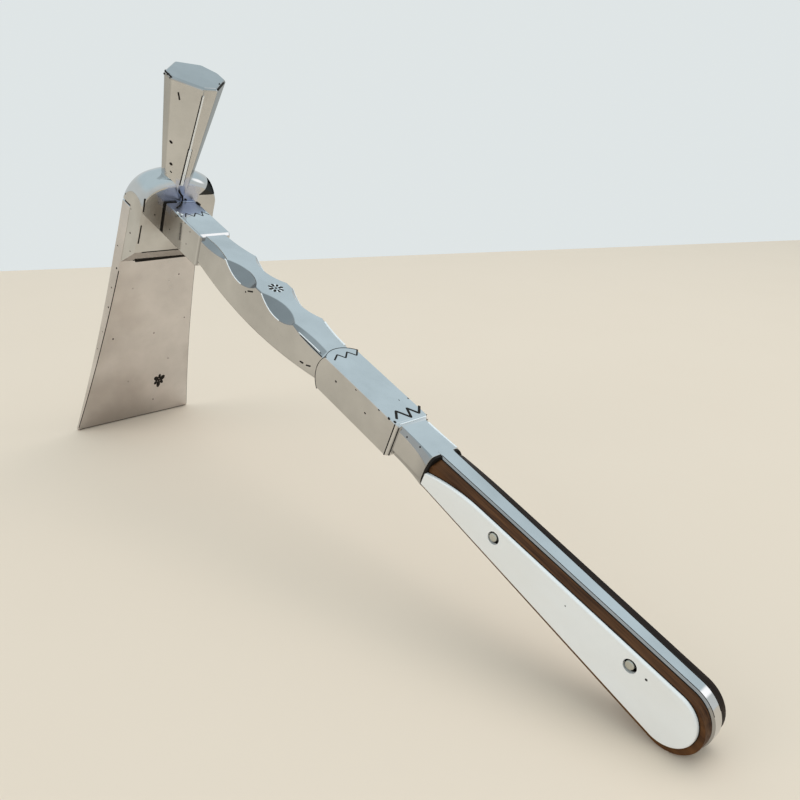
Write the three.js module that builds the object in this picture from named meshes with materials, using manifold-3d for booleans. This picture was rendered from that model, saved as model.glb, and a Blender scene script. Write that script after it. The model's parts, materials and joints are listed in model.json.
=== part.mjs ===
// Sugar hammer: a polished steel head with an octagonal poll above and an adze blade below,
// on a filed steel bar that ends in a full tang between layered scales.
// Millimetres. It is drawn lying along its bar, then tilted to stand on its edge and its butt.

import * as THREE from 'three';
import { mergeVertices } from 'three/addons/utils/BufferGeometryUtils.js';
import Module from 'manifold-3d';

const wasm = await Module();
wasm.setup();

// Fits
const GAP = 0.3;            // between any two pieces that lie against each other
const PIN_GAP = 0.3;        // around each pin
const TENON_GAP = 0.3;      // around the tenon in its eye

// Head: x = 0 is the front face that the bar butts against, z = 0 is the bar's axis
const HUB_FOOT = 20.7;      // bar axis down to the toe of the hub's lower bevel
const HUB_BEVEL = 7.6;      // depth of that bevel, and of the hub in front of the blade
const CROWN_AXIS = -10;     // height of the axis that the crowned top is turned about
const CROWN_CREST = 25.2;   // crown radius at its crest
const CROWN_CREST_BACK = 5.75;
const CROWN_FRONT_FALL = 3.6;
const CROWN_REAR_FALL = 6.2;
const CROWN_LIP = 1.3;      // lip of the crown over the blade's arched top
const SHOULDER_ROUND = 4;   // between the crown and the hub's sides

// Poll
const POLL_HEIGHT = 48.5;   // bar axis up to the striking face
const POLL_BASE = 12;       // level where the poll leaves the crown
const POLL_BASE_ACROSS = 9.2;
const POLL_FACE_ACROSS = 17.1;
const POLL_NARROW = 0.28;   // share of the width that the facets to front, back and sides have
const POLL_SET_BACK = 4.5;  // poll axis behind the front face
const POLL_LEAN = 4.2;      // degrees towards the handle
const POLL_RIM = 0.8;
const POLL_ROOT = 5;        // depth of the poll's root in the crown

// Blade
const BLADE_THICK = 5.5;
const BLADE_DROP = 98.8;    // bar axis down to the cutting edge
const EDGE_WIDTH = 49;
const EDGE_THICK = 1.2;
const SHOULDER_WIDTH = 28;
const BLADE_FLARE = 1.4;    // how far the sides bow in from a straight line

// Bar
const TENON = 7.4;
const TENON_PROUD = 0.7;
const TENON_CHAMFER = 0.5;
const BLOCK_WIDTH = 11.7;
const BLOCK_HEIGHT = 11.6;
const BLOCK_LENGTH = 23.9;
const BLOCK_CHAMFER = 0.6;
const BLOCK_EDGE = 0.3;
const SHANK_LENGTH = 66.7;
const SHANK_END_WIDTH = 10.6;
const SHANK_MID_WIDTH = 11.8;
const SHANK_END_TOP = 5.4;
const SHANK_MID_TOP = 6.3;
const SHANK_END_BELLY = 4.8;
const SHANK_MID_BELLY = 8;
const SHANK_BELLY_CHAMFER = 1.1;
const SHANK_EDGE = 0.3;
const SCALLOP_RADIUS = 18.6;
const SCALLOP_DEPTH = 2.35;
const SCALLOP_PITCH = 21.1;
const SCALLOP_MIDDLE = 34.3; // block to the peak between the scallops
const SCALLOPS = 2;
const HOLLOW_RADIUS = 70;   // the shallow hollow that fades out from each end of the shank
const HOLLOW_DEPTH = 1.15;
const BOLSTER_WIDTH = 11.9;
const BOLSTER_HEIGHT = 11.3;
const BOLSTER_AXIS = -0.15;
const BOLSTER_LENGTH = 34.8;
const BOLSTER_DOME = 10;    // radius of the domed end that meets the shank
const BOLSTER_CHAMFER = 0.35;
const BOLSTER_BEVEL = 1.2;
const NECK_LENGTH = 13.1;
const NECK_WAIST_WIDTH = 10.2;
const NECK_WAIST_HEIGHT = 9.4;
const NECK_AXIS = 0.35;
const NECK_FACET_ACROSS = 0.7;
const NECK_FACET_DOWN = 1.6;
const SHOULDER_FACET_ACROSS = 1.1;
const SHOULDER_FACET_DOWN = 2.9;

// Grip
const GRIP_LENGTH = 87.6;   // neck shoulder to the end of the butt
const GRIP_FRONT_HEIGHT = 10.2;
const GRIP_FRONT_AXIS = 0.4;
const BUTT_RADIUS = 8.4;
const BUTT_AXIS = -2.15;
const TANG_FRONT_THICK = 5.3;
const TANG_BUTT_THICK = 3.5;
const TANG_BEVEL = 0.6;
const TANG_PROUD = 0.1;     // tang edge above the scales
const LINER_THICK = 2.6;
const LINER_FALL = 0.6;     // fall of the liner's sloping edge at the neck
const LINER_BUTT_FALL = 0.1;
const LINER_DROP = 0.6;     // further fall of its outer edge where the neck's facet runs out
const LINER_LOW = 0.5;      // lower edge of the liner above the tang's, at the neck
const SCALE_SWEEP = 18;     // length over which the neck's facet runs out along the scales
const PLATE_THICK = 0.9;
const PLATE_ROUND = 0.6;
const PLATE_LEDGE = 0.3;    // rim of the liner left bare above the plate
const PLATE_LOW = 1.75;     // lower edge of the plate above the tang's
const PLATE_DROP = 3;       // fall of its upper edge where the neck's facet runs out
const PLATE_BUTT_BACK = 0.75;
const PIN_RADIUS = 1.25;
const PIN_PROUD = 0.15;
const PIN_CROWN = 0.25;
const PIN_FRONT = 25.5;     // neck shoulder to the pins
const PIN_REAR = 67;
const PIN_FRONT_LEVEL = 1.1;
const PIN_REAR_LEVEL = 1.75;

// Stations along the bar
const SHANK_START = BLOCK_LENGTH;
const SHANK_END = SHANK_START + SHANK_LENGTH;
const BOLSTER_END = SHANK_END + BOLSTER_LENGTH;
const GRIP_START = BOLSTER_END + NECK_LENGTH;
const BUTT_CENTRE = GRIP_START + GRIP_LENGTH - BUTT_RADIUS;
const BLADE_FRONT = -HUB_BEVEL - GAP;
const BLADE_BACK = BLADE_FRONT - BLADE_THICK;
const HUB_DEPTH = -BLADE_BACK;   // the hub's back is flush with the blade's
const CROWN_RIM = CROWN_CREST - CROWN_FRONT_FALL;
const CROWN_BACK = CROWN_CREST - CROWN_REAR_FALL;

const STEEL = { color: 0xc3c5c2, roughness: 0.12, metalness: 1 };
const BROWN = { color: 0x58341a, roughness: 0.5, metalness: 0 };
const WHITE = { color: 0xdedfd6, roughness: 0.38, metalness: 0 };

// Solids

function solid(geometry) {
  const bare = geometry.index ? geometry.toNonIndexed() : geometry.clone();
  bare.deleteAttribute('normal');
  bare.deleteAttribute('uv');
  const welded = mergeVertices(bare, 1e-4);
  const corners = welded.index.array;
  const faces = [];
  for (let i = 0; i < corners.length; i += 3) {
    const [a, b, c] = [corners[i], corners[i + 1], corners[i + 2]];
    if (a !== b && b !== c && c !== a) faces.push(a, b, c);
  }
  return new wasm.Manifold(new wasm.Mesh({
    numProp: 3,
    vertProperties: new Float32Array(welded.attributes.position.array),
    triVerts: new Uint32Array(faces),
  }));
}

function piece(name, body, look) {
  const { vertProperties, triVerts, numProp } = body.getMesh();
  const points = [];
  for (let i = 0; i < vertProperties.length; i += numProp) {
    points.push(vertProperties[i], vertProperties[i + 1], vertProperties[i + 2]);
  }
  const geometry = new THREE.BufferGeometry();
  geometry.setAttribute('position', new THREE.Float32BufferAttribute(points, 3));
  geometry.setIndex(Array.from(triVerts));
  geometry.computeVertexNormals();
  const mesh = new THREE.Mesh(geometry, new THREE.MeshStandardMaterial(look));
  mesh.name = name;
  return mesh;
}

// A closed skin over rings of matching points. flat gives a ring's own plane for the end caps.
function loft(rings, flat) {
  const count = rings[0].length;
  const last = (rings.length - 1) * count;
  const faces = [];
  for (let r = 0; r < rings.length - 1; r++) {
    for (let i = 0; i < count; i++) {
      const a = r * count + i;
      const b = r * count + (i + 1) % count;
      faces.push(a, b, a + count, b, b + count, a + count);
    }
  }
  const cap = rings[0].map(flat);
  const clockwise = THREE.ShapeUtils.isClockWise(cap);
  for (const [a, b, c] of THREE.ShapeUtils.triangulateShape(cap, [])) {
    const [d, e] = clockwise ? [b, c] : [c, b];
    faces.push(a, d, e, last + a, last + e, last + d);
  }
  const geometry = new THREE.BufferGeometry();
  geometry.setAttribute('position', new THREE.BufferAttribute(new Float32Array(
    rings.flat().flatMap((p) => [p.x, p.y, p.z])), 3));
  geometry.setIndex(faces);
  return solid(facingOut(geometry));
}

function facingOut(geometry) {
  const p = geometry.attributes.position;
  const index = geometry.index.array;
  const corner = [new THREE.Vector3(), new THREE.Vector3(), new THREE.Vector3()];
  let volume = 0;
  for (let i = 0; i < index.length; i += 3) {
    corner.forEach((v, k) => v.fromBufferAttribute(p, index[i + k]));
    volume += corner[0].dot(corner[1].cross(corner[2]));
  }
  if (volume < 0) geometry.setIndex(Array.from(index).reverse());
  return geometry;
}

function box(x0, x1, y0, y1, z0, z1) {
  const geometry = new THREE.BoxGeometry(x1 - x0, y1 - y0, z1 - z0);
  return solid(geometry.translate((x0 + x1) / 2, (y0 + y1) / 2, (z0 + z1) / 2));
}

// A side view drawn in x and z, given a width either side of y = 0
function sideCut(points, halfWidth) {
  const shape = new THREE.Shape(points.map(([x, z]) => new THREE.Vector2(x, z)));
  const geometry = new THREE.ExtrudeGeometry(shape, { depth: 2 * halfWidth, bevelEnabled: false });
  return solid(geometry.rotateX(Math.PI / 2).translate(0, halfWidth, 0));
}

// A front view drawn in y and z, given a depth from x0 to x1
function frontCut(shape, x0, x1) {
  const geometry = new THREE.ExtrudeGeometry(shape, {
    depth: x1 - x0,
    bevelEnabled: false,
    curveSegments: 24,
  });
  return solid(geometry.rotateX(Math.PI / 2).rotateZ(Math.PI / 2).translate(x0, 0, 0));
}

const acrossBar = (p) => new THREE.Vector2(p.y, p.z);
const alongGrip = (p) => new THREE.Vector2(p.x, p.z);
const fromAbove = (p) => new THREE.Vector2(p.x, p.y);

// Eight-cornered section across the bar. Each facet is given as its reach across and down.
function section(x, halfWidth, top, bottom, upper, lower) {
  const corners = [
    [halfWidth, top - upper[1]],
    [halfWidth - upper[0], top],
    [upper[0] - halfWidth, top],
    [-halfWidth, top - upper[1]],
    [-halfWidth, bottom + lower[1]],
    [lower[0] - halfWidth, bottom],
    [halfWidth - lower[0], bottom],
    [halfWidth, bottom + lower[1]],
  ];
  return corners.map(([y, z]) => new THREE.Vector3(x, y, z));
}

const even = (size) => [size, size];
const swell = (t, end, mid) => end + (mid - end) * 4 * t * (1 - t);
const mix = (t, a, b) => a + (b - a) * t;
const steps = (n) => Array.from({ length: n + 1 }, (_, i) => i / n);

// Head: hub and poll forged in one

// Side of the hub and the blade, a shallow arc from the shoulder to the edge
function sideArc() {
  const top = new THREE.Vector2(SHOULDER_WIDTH / 2, 0);
  const low = new THREE.Vector2(EDGE_WIDTH / 2, -BLADE_DROP);
  const bow = new THREE.Vector2().addVectors(top, low).multiplyScalar(0.5);
  bow.x -= 2 * BLADE_FLARE;
  return new THREE.QuadraticBezierCurve(top, bow, low).getPoints(28);
}

// Outline of the blade seen from the front, straight up above the shoulder
function headOutline(top) {
  const right = [new THREE.Vector2(SHOULDER_WIDTH / 2, top), ...sideArc()];
  const left = right.map((p) => new THREE.Vector2(-p.x, p.y)).reverse();
  return new THREE.Shape([...right, ...left]);
}

// Arc from a point on the crest's level down to a rim, level at the crest
function crestArc(rimRadius, rimBack, count) {
  const drop = CROWN_CREST - rimRadius;
  const reach = rimBack - CROWN_CREST_BACK;
  const radius = (reach * reach + drop * drop) / (2 * drop);
  const sweep = Math.asin(Math.abs(reach) / radius);
  return steps(count).map((t) => [
    CROWN_CREST - radius * (1 - Math.cos(t * sweep)),
    -(CROWN_CREST_BACK + Math.sign(reach) * radius * Math.sin(t * sweep)),
  ]);
}

// Front view of the hub where its crown has the given radius: down the right side from the top
function hubSide(radius) {
  const inward = SHOULDER_WIDTH / 2 - SHOULDER_ROUND;
  const rise = Math.sqrt((radius - SHOULDER_ROUND) ** 2 - inward ** 2);
  const turn = Math.atan2(inward, rise);
  const arch = steps(14).map((t) => [
    radius * Math.sin(t * turn),
    CROWN_AXIS + radius * Math.cos(t * turn),
  ]);
  const shoulder = steps(7).slice(1).map((t) => [
    inward + SHOULDER_ROUND * Math.sin(mix(t, turn, Math.PI / 2)),
    CROWN_AXIS + rise + SHOULDER_ROUND * Math.cos(mix(t, turn, Math.PI / 2)),
  ]);
  const side = sideArc().map((p) => [p.x, p.y]);
  const below = side.findIndex(([, z]) => z < -HUB_FOOT);
  return [...arch, ...shoulder, ...side.slice(0, below + 1)];
}

// Hub lofted from back to front along its barrel-shaped crown
function hub() {
  const rear = crestArc(CROWN_BACK, HUB_DEPTH, 7).reverse();
  const front = crestArc(CROWN_RIM, 0, 7).slice(1);
  return loft([...rear, ...front].map(([radius, x]) => {
    const right = hubSide(radius);
    const left = right.slice(1).map(([y, z]) => [-y, z]).reverse();
    return [...right, ...left].map(([y, z]) => new THREE.Vector3(x, y, z));
  }), acrossBar);
}

// Arched top of the blade, and the recess for it in the hub's back
function arch(radius, x0, x1) {
  const low = -BLADE_DROP - 1;
  const shape = new THREE.Shape();
  shape.moveTo(-radius, low);
  shape.lineTo(radius, low);
  shape.lineTo(radius, CROWN_AXIS);
  shape.absarc(0, CROWN_AXIS, radius, 0, Math.PI, false);
  shape.lineTo(-radius, low);
  const wide = EDGE_WIDTH;
  const skirt = box(x0, x1, -wide, wide, low, CROWN_AXIS + Math.sqrt(
    Math.max(radius ** 2 - (SHOULDER_WIDTH / 2) ** 2, 0)));
  return frontCut(shape, x0, x1).add(skirt);
}

// The poll is square, set with its corners to the front, the back and the sides, and these are cut off
function poll() {
  const rings = [
    [POLL_BASE - POLL_ROOT, POLL_BASE_ACROSS - POLL_ROOT * pollTaper()],
    [POLL_HEIGHT - POLL_RIM, POLL_FACE_ACROSS],
    [POLL_HEIGHT, POLL_FACE_ACROSS - 1.6 * POLL_RIM],
  ].map(([z, across]) => {
    const near = POLL_NARROW * across / 2;
    const far = across / Math.SQRT2 - near;
    const corners = [
      [far, -near], [far, near], [near, far], [-near, far],
      [-far, near], [-far, -near], [-near, -far], [near, -far],
    ];
    return corners.map(([x, y]) => new THREE.Vector3(x, y, z - POLL_BASE));
  });
  const lean = new THREE.Matrix4().makeRotationY(THREE.MathUtils.degToRad(POLL_LEAN));
  lean.setPosition(-POLL_SET_BACK, 0, POLL_BASE);
  return loft(rings.map((ring) => ring.map((p) => p.applyMatrix4(lean))), fromAbove);
}

function pollTaper() {
  return (POLL_FACE_ACROSS - POLL_BASE_ACROSS) / (POLL_HEIGHT - POLL_RIM - POLL_BASE);
}

function eye(x0, x1) {
  const half = TENON / 2 + TENON_GAP;
  return box(x0, x1, -half, half, -half, half);
}

function head() {
  const bevel = sideCut([
    [1, -HUB_FOOT + HUB_BEVEL + 1],
    [1, -BLADE_DROP - 1],
    [-HUB_DEPTH - 1, -BLADE_DROP - 1],
    [-HUB_DEPTH - 1, -HUB_FOOT],
    [-HUB_BEVEL, -HUB_FOOT],
  ], EDGE_WIDTH);
  return hub()
    .add(poll())
    .subtract(bevel)
    .subtract(arch(CROWN_BACK - CROWN_LIP, -HUB_DEPTH - 1, -HUB_BEVEL))
    .subtract(eye(-HUB_DEPTH - 1, 1));
}

// Blade: a plate that laps behind the hub and thins to its edge

function blade() {
  const middle = (BLADE_FRONT + BLADE_BACK) / 2;
  const thinning = sideCut([
    [BLADE_FRONT, CROWN_AXIS + CROWN_CREST],
    [BLADE_FRONT, -HUB_FOOT],
    [middle + EDGE_THICK / 2, -BLADE_DROP],
    [middle - EDGE_THICK / 2, -BLADE_DROP],
    [BLADE_BACK, -HUB_FOOT],
    [BLADE_BACK, CROWN_AXIS + CROWN_CREST],
  ], EDGE_WIDTH);
  return frontCut(headOutline(CROWN_AXIS + CROWN_CREST), BLADE_BACK - 1, BLADE_FRONT + 1)
    .intersect(thinning)
    .intersect(arch(CROWN_BACK - CROWN_LIP - GAP, BLADE_BACK - 1, BLADE_FRONT + 1))
    .subtract(eye(BLADE_BACK - 1, BLADE_FRONT + 1));
}

// Bar: tenon, square block, scalloped shank, bolster, neck and tang in one

function tenon() {
  const tip = BLADE_BACK - TENON_PROUD;
  const half = TENON / 2;
  const edge = even(TENON_CHAMFER);
  return loft([
    section(tip, half - TENON_PROUD, half - TENON_PROUD, TENON_PROUD - half, edge, edge),
    section(BLADE_BACK, half, half, -half, edge, edge),
    section(2 * GAP, half, half, -half, edge, edge),
  ], acrossBar);
}

function block() {
  const y = BLOCK_WIDTH / 2;
  const z = BLOCK_HEIGHT / 2;
  const c = BLOCK_CHAMFER;
  const edge = even(BLOCK_EDGE);
  return loft([
    section(GAP, y, z, -z, edge, edge),
    section(BLOCK_LENGTH - 2 * c, y, z, -z, edge, edge),
    section(BLOCK_LENGTH, y - c, z - c, c - z, edge, edge),
  ], acrossBar);
}

const shankHalf = (t) => swell(t, SHANK_END_WIDTH / 2, SHANK_MID_WIDTH / 2);
const shankTop = (t) => swell(t, SHANK_END_TOP, SHANK_MID_TOP);

// Round cutter laid across one upper edge of the shank, its depth measured square to that edge
function edgeCutter(t, side, radius, depth) {
  const square = new THREE.Vector3(0, side, 1).normalize();
  const axis = new THREE.Vector3(0, -side, 1).normalize();
  const geometry = new THREE.CylinderGeometry(radius, radius, 60, radius > 40 ? 360 : 120);
  geometry.applyQuaternion(new THREE.Quaternion().setFromUnitVectors(new THREE.Vector3(0, 1, 0), axis));
  const edge = new THREE.Vector3(SHANK_START + t * SHANK_LENGTH, side * shankHalf(t), shankTop(t));
  const centre = edge.addScaledVector(square, radius - depth);
  return solid(geometry.translate(centre.x, centre.y, centre.z));
}

function shank() {
  const inside = 1 / SHANK_LENGTH;
  const stations = steps(30).map((t) => mix(t, -inside, 1 + 2 * inside));
  let body = loft(stations.map((t) => section(
    SHANK_START + t * SHANK_LENGTH,
    shankHalf(t),
    shankTop(t),
    -swell(t, SHANK_END_BELLY, SHANK_MID_BELLY),
    even(SHANK_EDGE),
    even(SHANK_BELLY_CHAMFER),
  )), acrossBar);
  for (const side of [-1, 1]) {
    for (let i = 0; i < SCALLOPS; i++) {
      const t = (SCALLOP_MIDDLE + (i - (SCALLOPS - 1) / 2) * SCALLOP_PITCH) / SHANK_LENGTH;
      body = body.subtract(edgeCutter(t, side, SCALLOP_RADIUS, SCALLOP_DEPTH));
    }
    for (const t of [0, 1]) {
      body = body.subtract(edgeCutter(t, side, HOLLOW_RADIUS, HOLLOW_DEPTH));
    }
  }
  return body;
}

function bolster() {
  const y = BOLSTER_WIDTH / 2;
  const rise = BOLSTER_HEIGHT / 2;
  const [top, bottom] = [BOLSTER_AXIS + rise, BOLSTER_AXIS - rise];
  const edge = even(BOLSTER_CHAMFER);
  const b = BOLSTER_BEVEL / 2;
  const centre = SHANK_END + Math.sqrt(BOLSTER_DOME ** 2 - rise ** 2);
  const bar = loft([
    section(centre - BOLSTER_DOME, y, top, bottom, edge, edge),
    section(BOLSTER_END - BOLSTER_BEVEL, y, top, bottom, edge, edge),
    section(BOLSTER_END, y - b, top - b, bottom + b, edge, edge),
  ], acrossBar);
  const dome = new THREE.SphereGeometry(BOLSTER_DOME, 72, 48);
  const behind = box(centre, BOLSTER_END + 1, -y - 1, y + 1, bottom - 1, top + 1);
  return bar.intersect(solid(dome.translate(centre, 0, BOLSTER_AXIS)).add(behind));
}

const tangHalf = (x) => mix((x - GRIP_START) / GRIP_LENGTH, TANG_FRONT_THICK, TANG_BUTT_THICK) / 2;
const linerFace = (x) => tangHalf(x) + GAP + LINER_THICK;
const plateFace = (x) => linerFace(x) + GAP + PLATE_THICK;

// The neck flares from its waist to a shoulder that covers the ends of the scales
function neck() {
  const waist = NECK_WAIST_HEIGHT / 2;
  const rise = GRIP_FRONT_HEIGHT / 2;
  const stations = steps(12).map((t) => mix(t, -1 / NECK_LENGTH, 1));
  return loft(stations.map((t) => {
    const flare = Math.max(t, 0) ** 2.4;
    const half = mix(flare, NECK_WAIST_WIDTH / 2, plateFace(GRIP_START));
    const top = mix(flare, NECK_AXIS + waist, GRIP_FRONT_AXIS + rise);
    const bottom = mix(flare, NECK_AXIS - waist, GRIP_FRONT_AXIS - rise);
    const facet = [
      mix(flare, NECK_FACET_ACROSS, SHOULDER_FACET_ACROSS),
      mix(flare, NECK_FACET_DOWN, SHOULDER_FACET_DOWN),
    ];
    return section(BOLSTER_END + t * NECK_LENGTH, half, top, bottom, facet, facet);
  }), acrossBar);
}

// Outline of the grip from the side. Its upper line is drawn in by neck and butt, its lower line
// by low and buttLow. sweep lowers the upper line at the neck, back shortens the butt.
function gripOutline(start, { neck, butt, low = neck, buttLow = butt, back = 0, sweep = 0 }) {
  const top = GRIP_FRONT_AXIS + GRIP_FRONT_HEIGHT / 2 - neck;
  const bottom = GRIP_FRONT_AXIS - GRIP_FRONT_HEIGHT / 2 + low;
  const round = BUTT_RADIUS - (butt + buttLow) / 2;
  const axis = BUTT_AXIS + (buttLow - butt) / 2;
  const end = BUTT_CENTRE - back;
  const upper = steps(8).map((t) => {
    const x = start + t * SCALE_SWEEP;
    const level = mix((x - start) / (end - start), top, axis + round);
    return [x, level - sweep * (1 - t) ** 2];
  });
  const rounded = steps(24).map((t) => {
    const turn = Math.PI / 2 - t * Math.PI;
    return [end + round * Math.cos(turn), axis + round * Math.sin(turn)];
  });
  return [...upper, ...rounded, [start, bottom]];
}

// Layer of the grip: outlines stacked outward from the middle on the given side
function layer(start, rings, side) {
  return loft(rings.map(([outline, reach]) => gripOutline(start, outline).map(
    ([x, z]) => new THREE.Vector3(x, side * reach(x), z))), alongGrip);
}

const pins = [[PIN_FRONT, PIN_FRONT_LEVEL], [PIN_REAR, PIN_REAR_LEVEL]];

function pinHoles() {
  return pins.map(([place, level]) => {
    const hole = new THREE.CylinderGeometry(PIN_RADIUS + PIN_GAP, PIN_RADIUS + PIN_GAP, 60, 28);
    return solid(hole.translate(GRIP_START + place, 0, level));
  }).reduce((a, b) => a.add(b));
}

function tang() {
  const flank = { neck: TANG_BEVEL, butt: TANG_BEVEL };
  const crest = { neck: 0, butt: 0 };
  return layer(GRIP_START - 1, [
    [flank, (x) => -tangHalf(x)],
    [crest, (x) => TANG_BEVEL - tangHalf(x)],
    [crest, (x) => tangHalf(x) - TANG_BEVEL],
    [flank, tangHalf],
  ], 1).subtract(pinHoles());
}

function bar() {
  return [block(), shank(), bolster(), neck(), tang()].reduce((a, b) => a.add(b), tenon());
}

// Scales: a brown liner and a white plate on each side of the tang

const foot = TANG_PROUD + TANG_BEVEL;

const linerRim = {
  neck: foot + LINER_FALL,
  butt: foot + LINER_BUTT_FALL,
  low: LINER_LOW,
  buttLow: TANG_PROUD,
  sweep: LINER_DROP,
};

const plateRim = (inset) => ({
  neck: linerRim.neck + PLATE_LEDGE + inset,
  butt: linerRim.butt + PLATE_LEDGE + inset,
  low: PLATE_LOW + inset,
  back: PLATE_BUTT_BACK,
  sweep: PLATE_DROP,
  buttLow: PLATE_LOW + inset,
});

function liner(side) {
  return layer(GRIP_START + GAP, [
    [{ neck: foot, butt: foot, low: LINER_LOW, buttLow: TANG_PROUD }, (x) => tangHalf(x) + GAP],
    [linerRim, linerFace],
  ], side).subtract(pinHoles());
}

function plate(side) {
  return layer(GRIP_START + GAP, [
    [plateRim(0), (x) => linerFace(x) + GAP],
    ...steps(4).map((t) => {
      const turn = t * Math.PI / 2;
      const drop = PLATE_ROUND * (1 - Math.sin(turn));
      return [plateRim(PLATE_ROUND * (1 - Math.cos(turn))), (x) => plateFace(x) - drop];
    }),
  ], side).subtract(pinHoles());
}

function pin([place, level]) {
  const reach = plateFace(GRIP_START + place) + PIN_PROUD;
  const profile = [
    [0, -reach],
    [PIN_RADIUS - PIN_CROWN, -reach],
    [PIN_RADIUS, PIN_CROWN - reach],
    [PIN_RADIUS, reach - PIN_CROWN],
    [PIN_RADIUS - PIN_CROWN, reach],
    [0, reach],
  ].map(([r, y]) => new THREE.Vector2(r, y));
  const geometry = new THREE.LatheGeometry(profile, 28);
  geometry.deleteAttribute('normal');
  geometry.deleteAttribute('uv');
  return solid(facingOut(mergeVertices(geometry.translate(GRIP_START + place, 0, level))));
}

// Tilt that brings the cutting edge and the round butt down to one level
function standingTilt() {
  const edgeX = (BLADE_FRONT + BLADE_BACK) / 2 + EDGE_THICK / 2;
  const run = BUTT_CENTRE - edgeX;
  const rise = BUTT_AXIS + BLADE_DROP;
  return Math.atan2(rise, run) - Math.asin(BUTT_RADIUS / Math.hypot(run, rise));
}

const tool = new THREE.Group();
tool.add(
  piece('head', head(), STEEL),
  piece('blade', blade(), STEEL),
  piece('bar', bar(), STEEL),
  piece('liner_left', liner(-1), BROWN),
  piece('liner_right', liner(1), BROWN),
  piece('plate_left', plate(-1), WHITE),
  piece('plate_right', plate(1), WHITE),
  piece('pin_front', pin(pins[0]), STEEL),
  piece('pin_rear', pin(pins[1]), STEEL),
);
tool.rotation.y = standingTilt();
tool.updateMatrixWorld(true);

// The origin lies on the surface it stands on, under the middle of the tool
const extent = new THREE.Box3().setFromObject(tool, true);
const centre = extent.getCenter(new THREE.Vector3());
tool.position.set(-centre.x, -centre.y, -extent.min.z);

const hammer = new THREE.Group();
hammer.add(tool);

export default hammer;
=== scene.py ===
# %% [markdown]
# # A sugar hammer in polished steel
# The tool has three kinds of surface: mirror-bright steel, a brown layer and a white layer on the grip.
# We load the measured solids first. They fix every size and place, and the looks are built around them.

# %% Load the measured frame
import json
import math

import bmesh
import bpy
from mathutils import Matrix, Vector


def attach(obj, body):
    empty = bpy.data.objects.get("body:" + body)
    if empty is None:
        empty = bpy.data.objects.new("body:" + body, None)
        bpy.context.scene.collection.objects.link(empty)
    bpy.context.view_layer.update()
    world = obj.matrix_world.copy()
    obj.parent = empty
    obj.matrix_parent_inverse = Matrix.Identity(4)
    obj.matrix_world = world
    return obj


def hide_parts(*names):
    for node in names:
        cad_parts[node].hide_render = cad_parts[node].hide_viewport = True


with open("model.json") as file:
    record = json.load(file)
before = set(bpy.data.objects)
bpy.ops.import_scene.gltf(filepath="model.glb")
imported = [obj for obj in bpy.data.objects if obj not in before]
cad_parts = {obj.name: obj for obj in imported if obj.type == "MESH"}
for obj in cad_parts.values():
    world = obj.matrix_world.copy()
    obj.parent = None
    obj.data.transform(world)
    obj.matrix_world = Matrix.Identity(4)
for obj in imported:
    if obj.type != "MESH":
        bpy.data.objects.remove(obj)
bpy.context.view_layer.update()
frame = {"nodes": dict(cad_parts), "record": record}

print("pieces in the frame:", sorted(frame["nodes"]))

# %% [markdown]
# ## Drawing the tool lying down
# The tool stands tilted on its edge and its butt, which is awkward to draw. So each piece is drawn in
# millimetres with the bar level along X, and one matrix, `STAND`, tilts it, shrinks it to metres and puts
# it where the frame has it. The striking face on top of the poll is known in the frame, so the tilt and
# the place are worked out from that face.

# %% The tilt and the place of the standing tool
MM = 0.001
POLL_HEIGHT = 48.5
POLL_FOOT = 12.0
POLL_BACK = 4.5
POLL_LEAN = math.radians(4.2)
POLL_LENGTH = POLL_HEIGHT - POLL_FOOT

striking = frame["record"]["mounts"][0]
TILT = math.atan2(striking["axis"][0], striking["axis"][2]) - POLL_LEAN
face_ahead = POLL_LENGTH * math.sin(POLL_LEAN) - POLL_BACK
face_middle = Vector((face_ahead, 0, POLL_LENGTH * math.cos(POLL_LEAN) + POLL_FOOT))
turn_up = Matrix.Rotation(TILT, 4, "Y")
ORIGIN = Vector(striking["pos_m"]) - turn_up @ face_middle * MM
STAND = Matrix.Translation(ORIGIN) @ turn_up @ Matrix.Scale(MM, 4)
print(f"tilt {math.degrees(TILT):.2f} degrees, bar's front at {[round(c, 4) for c in ORIGIN]} m")

# %% [markdown]
# ## Skins over rings
# Most pieces here are lofts: a row of rings with the same number of points, joined by quads and closed by
# a cap at each end. A loft keeps long smooth strips of quads, which polished metal needs, because a
# mirror shows every kink. Real steel is never quite sharp either, so `softened` rounds each corner of a
# ring.

# %% Rings and skins
CORNER_SHARE = 0.4


def mix(t, a, b):
    return a + (b - a) * t


def steps(count):
    return [i / count for i in range(count + 1)]


def spread(first, last, count):
    """Values in even steps from first to last."""
    return [mix(t, first, last) for t in steps(count)]


def circle(radius, count):
    """Points round a circle, as pairs."""
    turns = [math.tau * t for t in steps(count)[:-1]]
    return [(radius * math.cos(a), radius * math.sin(a)) for a in turns]


def softened(corners, radius, parts=3):
    """A closed outline with each of its corners rounded by a short curve."""
    outline = []
    for i, corner in enumerate(corners):
        tip = Vector(corner)
        back = Vector(corners[i - 1]) - tip
        ahead = Vector(corners[(i + 1) % len(corners)]) - tip
        reach = min(radius, CORNER_SHARE * back.length, CORNER_SHARE * ahead.length)
        start = tip + back.normalized() * reach
        end = tip + ahead.normalized() * reach
        for t in steps(parts):
            outline.append((1 - t) ** 2 * start + 2 * t * (1 - t) * tip + t * t * end)
    return outline


def skin(rings):
    """Points and faces of a closed loft."""
    count = len(rings[0])
    points = [tuple(p) for ring in rings for p in ring]
    faces = [tuple(reversed(range(count)))]
    for r in range(len(rings) - 1):
        for i in range(count):
            j = (i + 1) % count
            faces.append((r * count + i, r * count + j, (r + 1) * count + j, (r + 1) * count + i))
    faces.append(tuple(range(len(points) - count, len(points))))
    return points, faces


print("a softened square has", len(softened(((0, 0), (1, 0), (1, 1), (0, 1)), 0.1)), "points")


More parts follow.
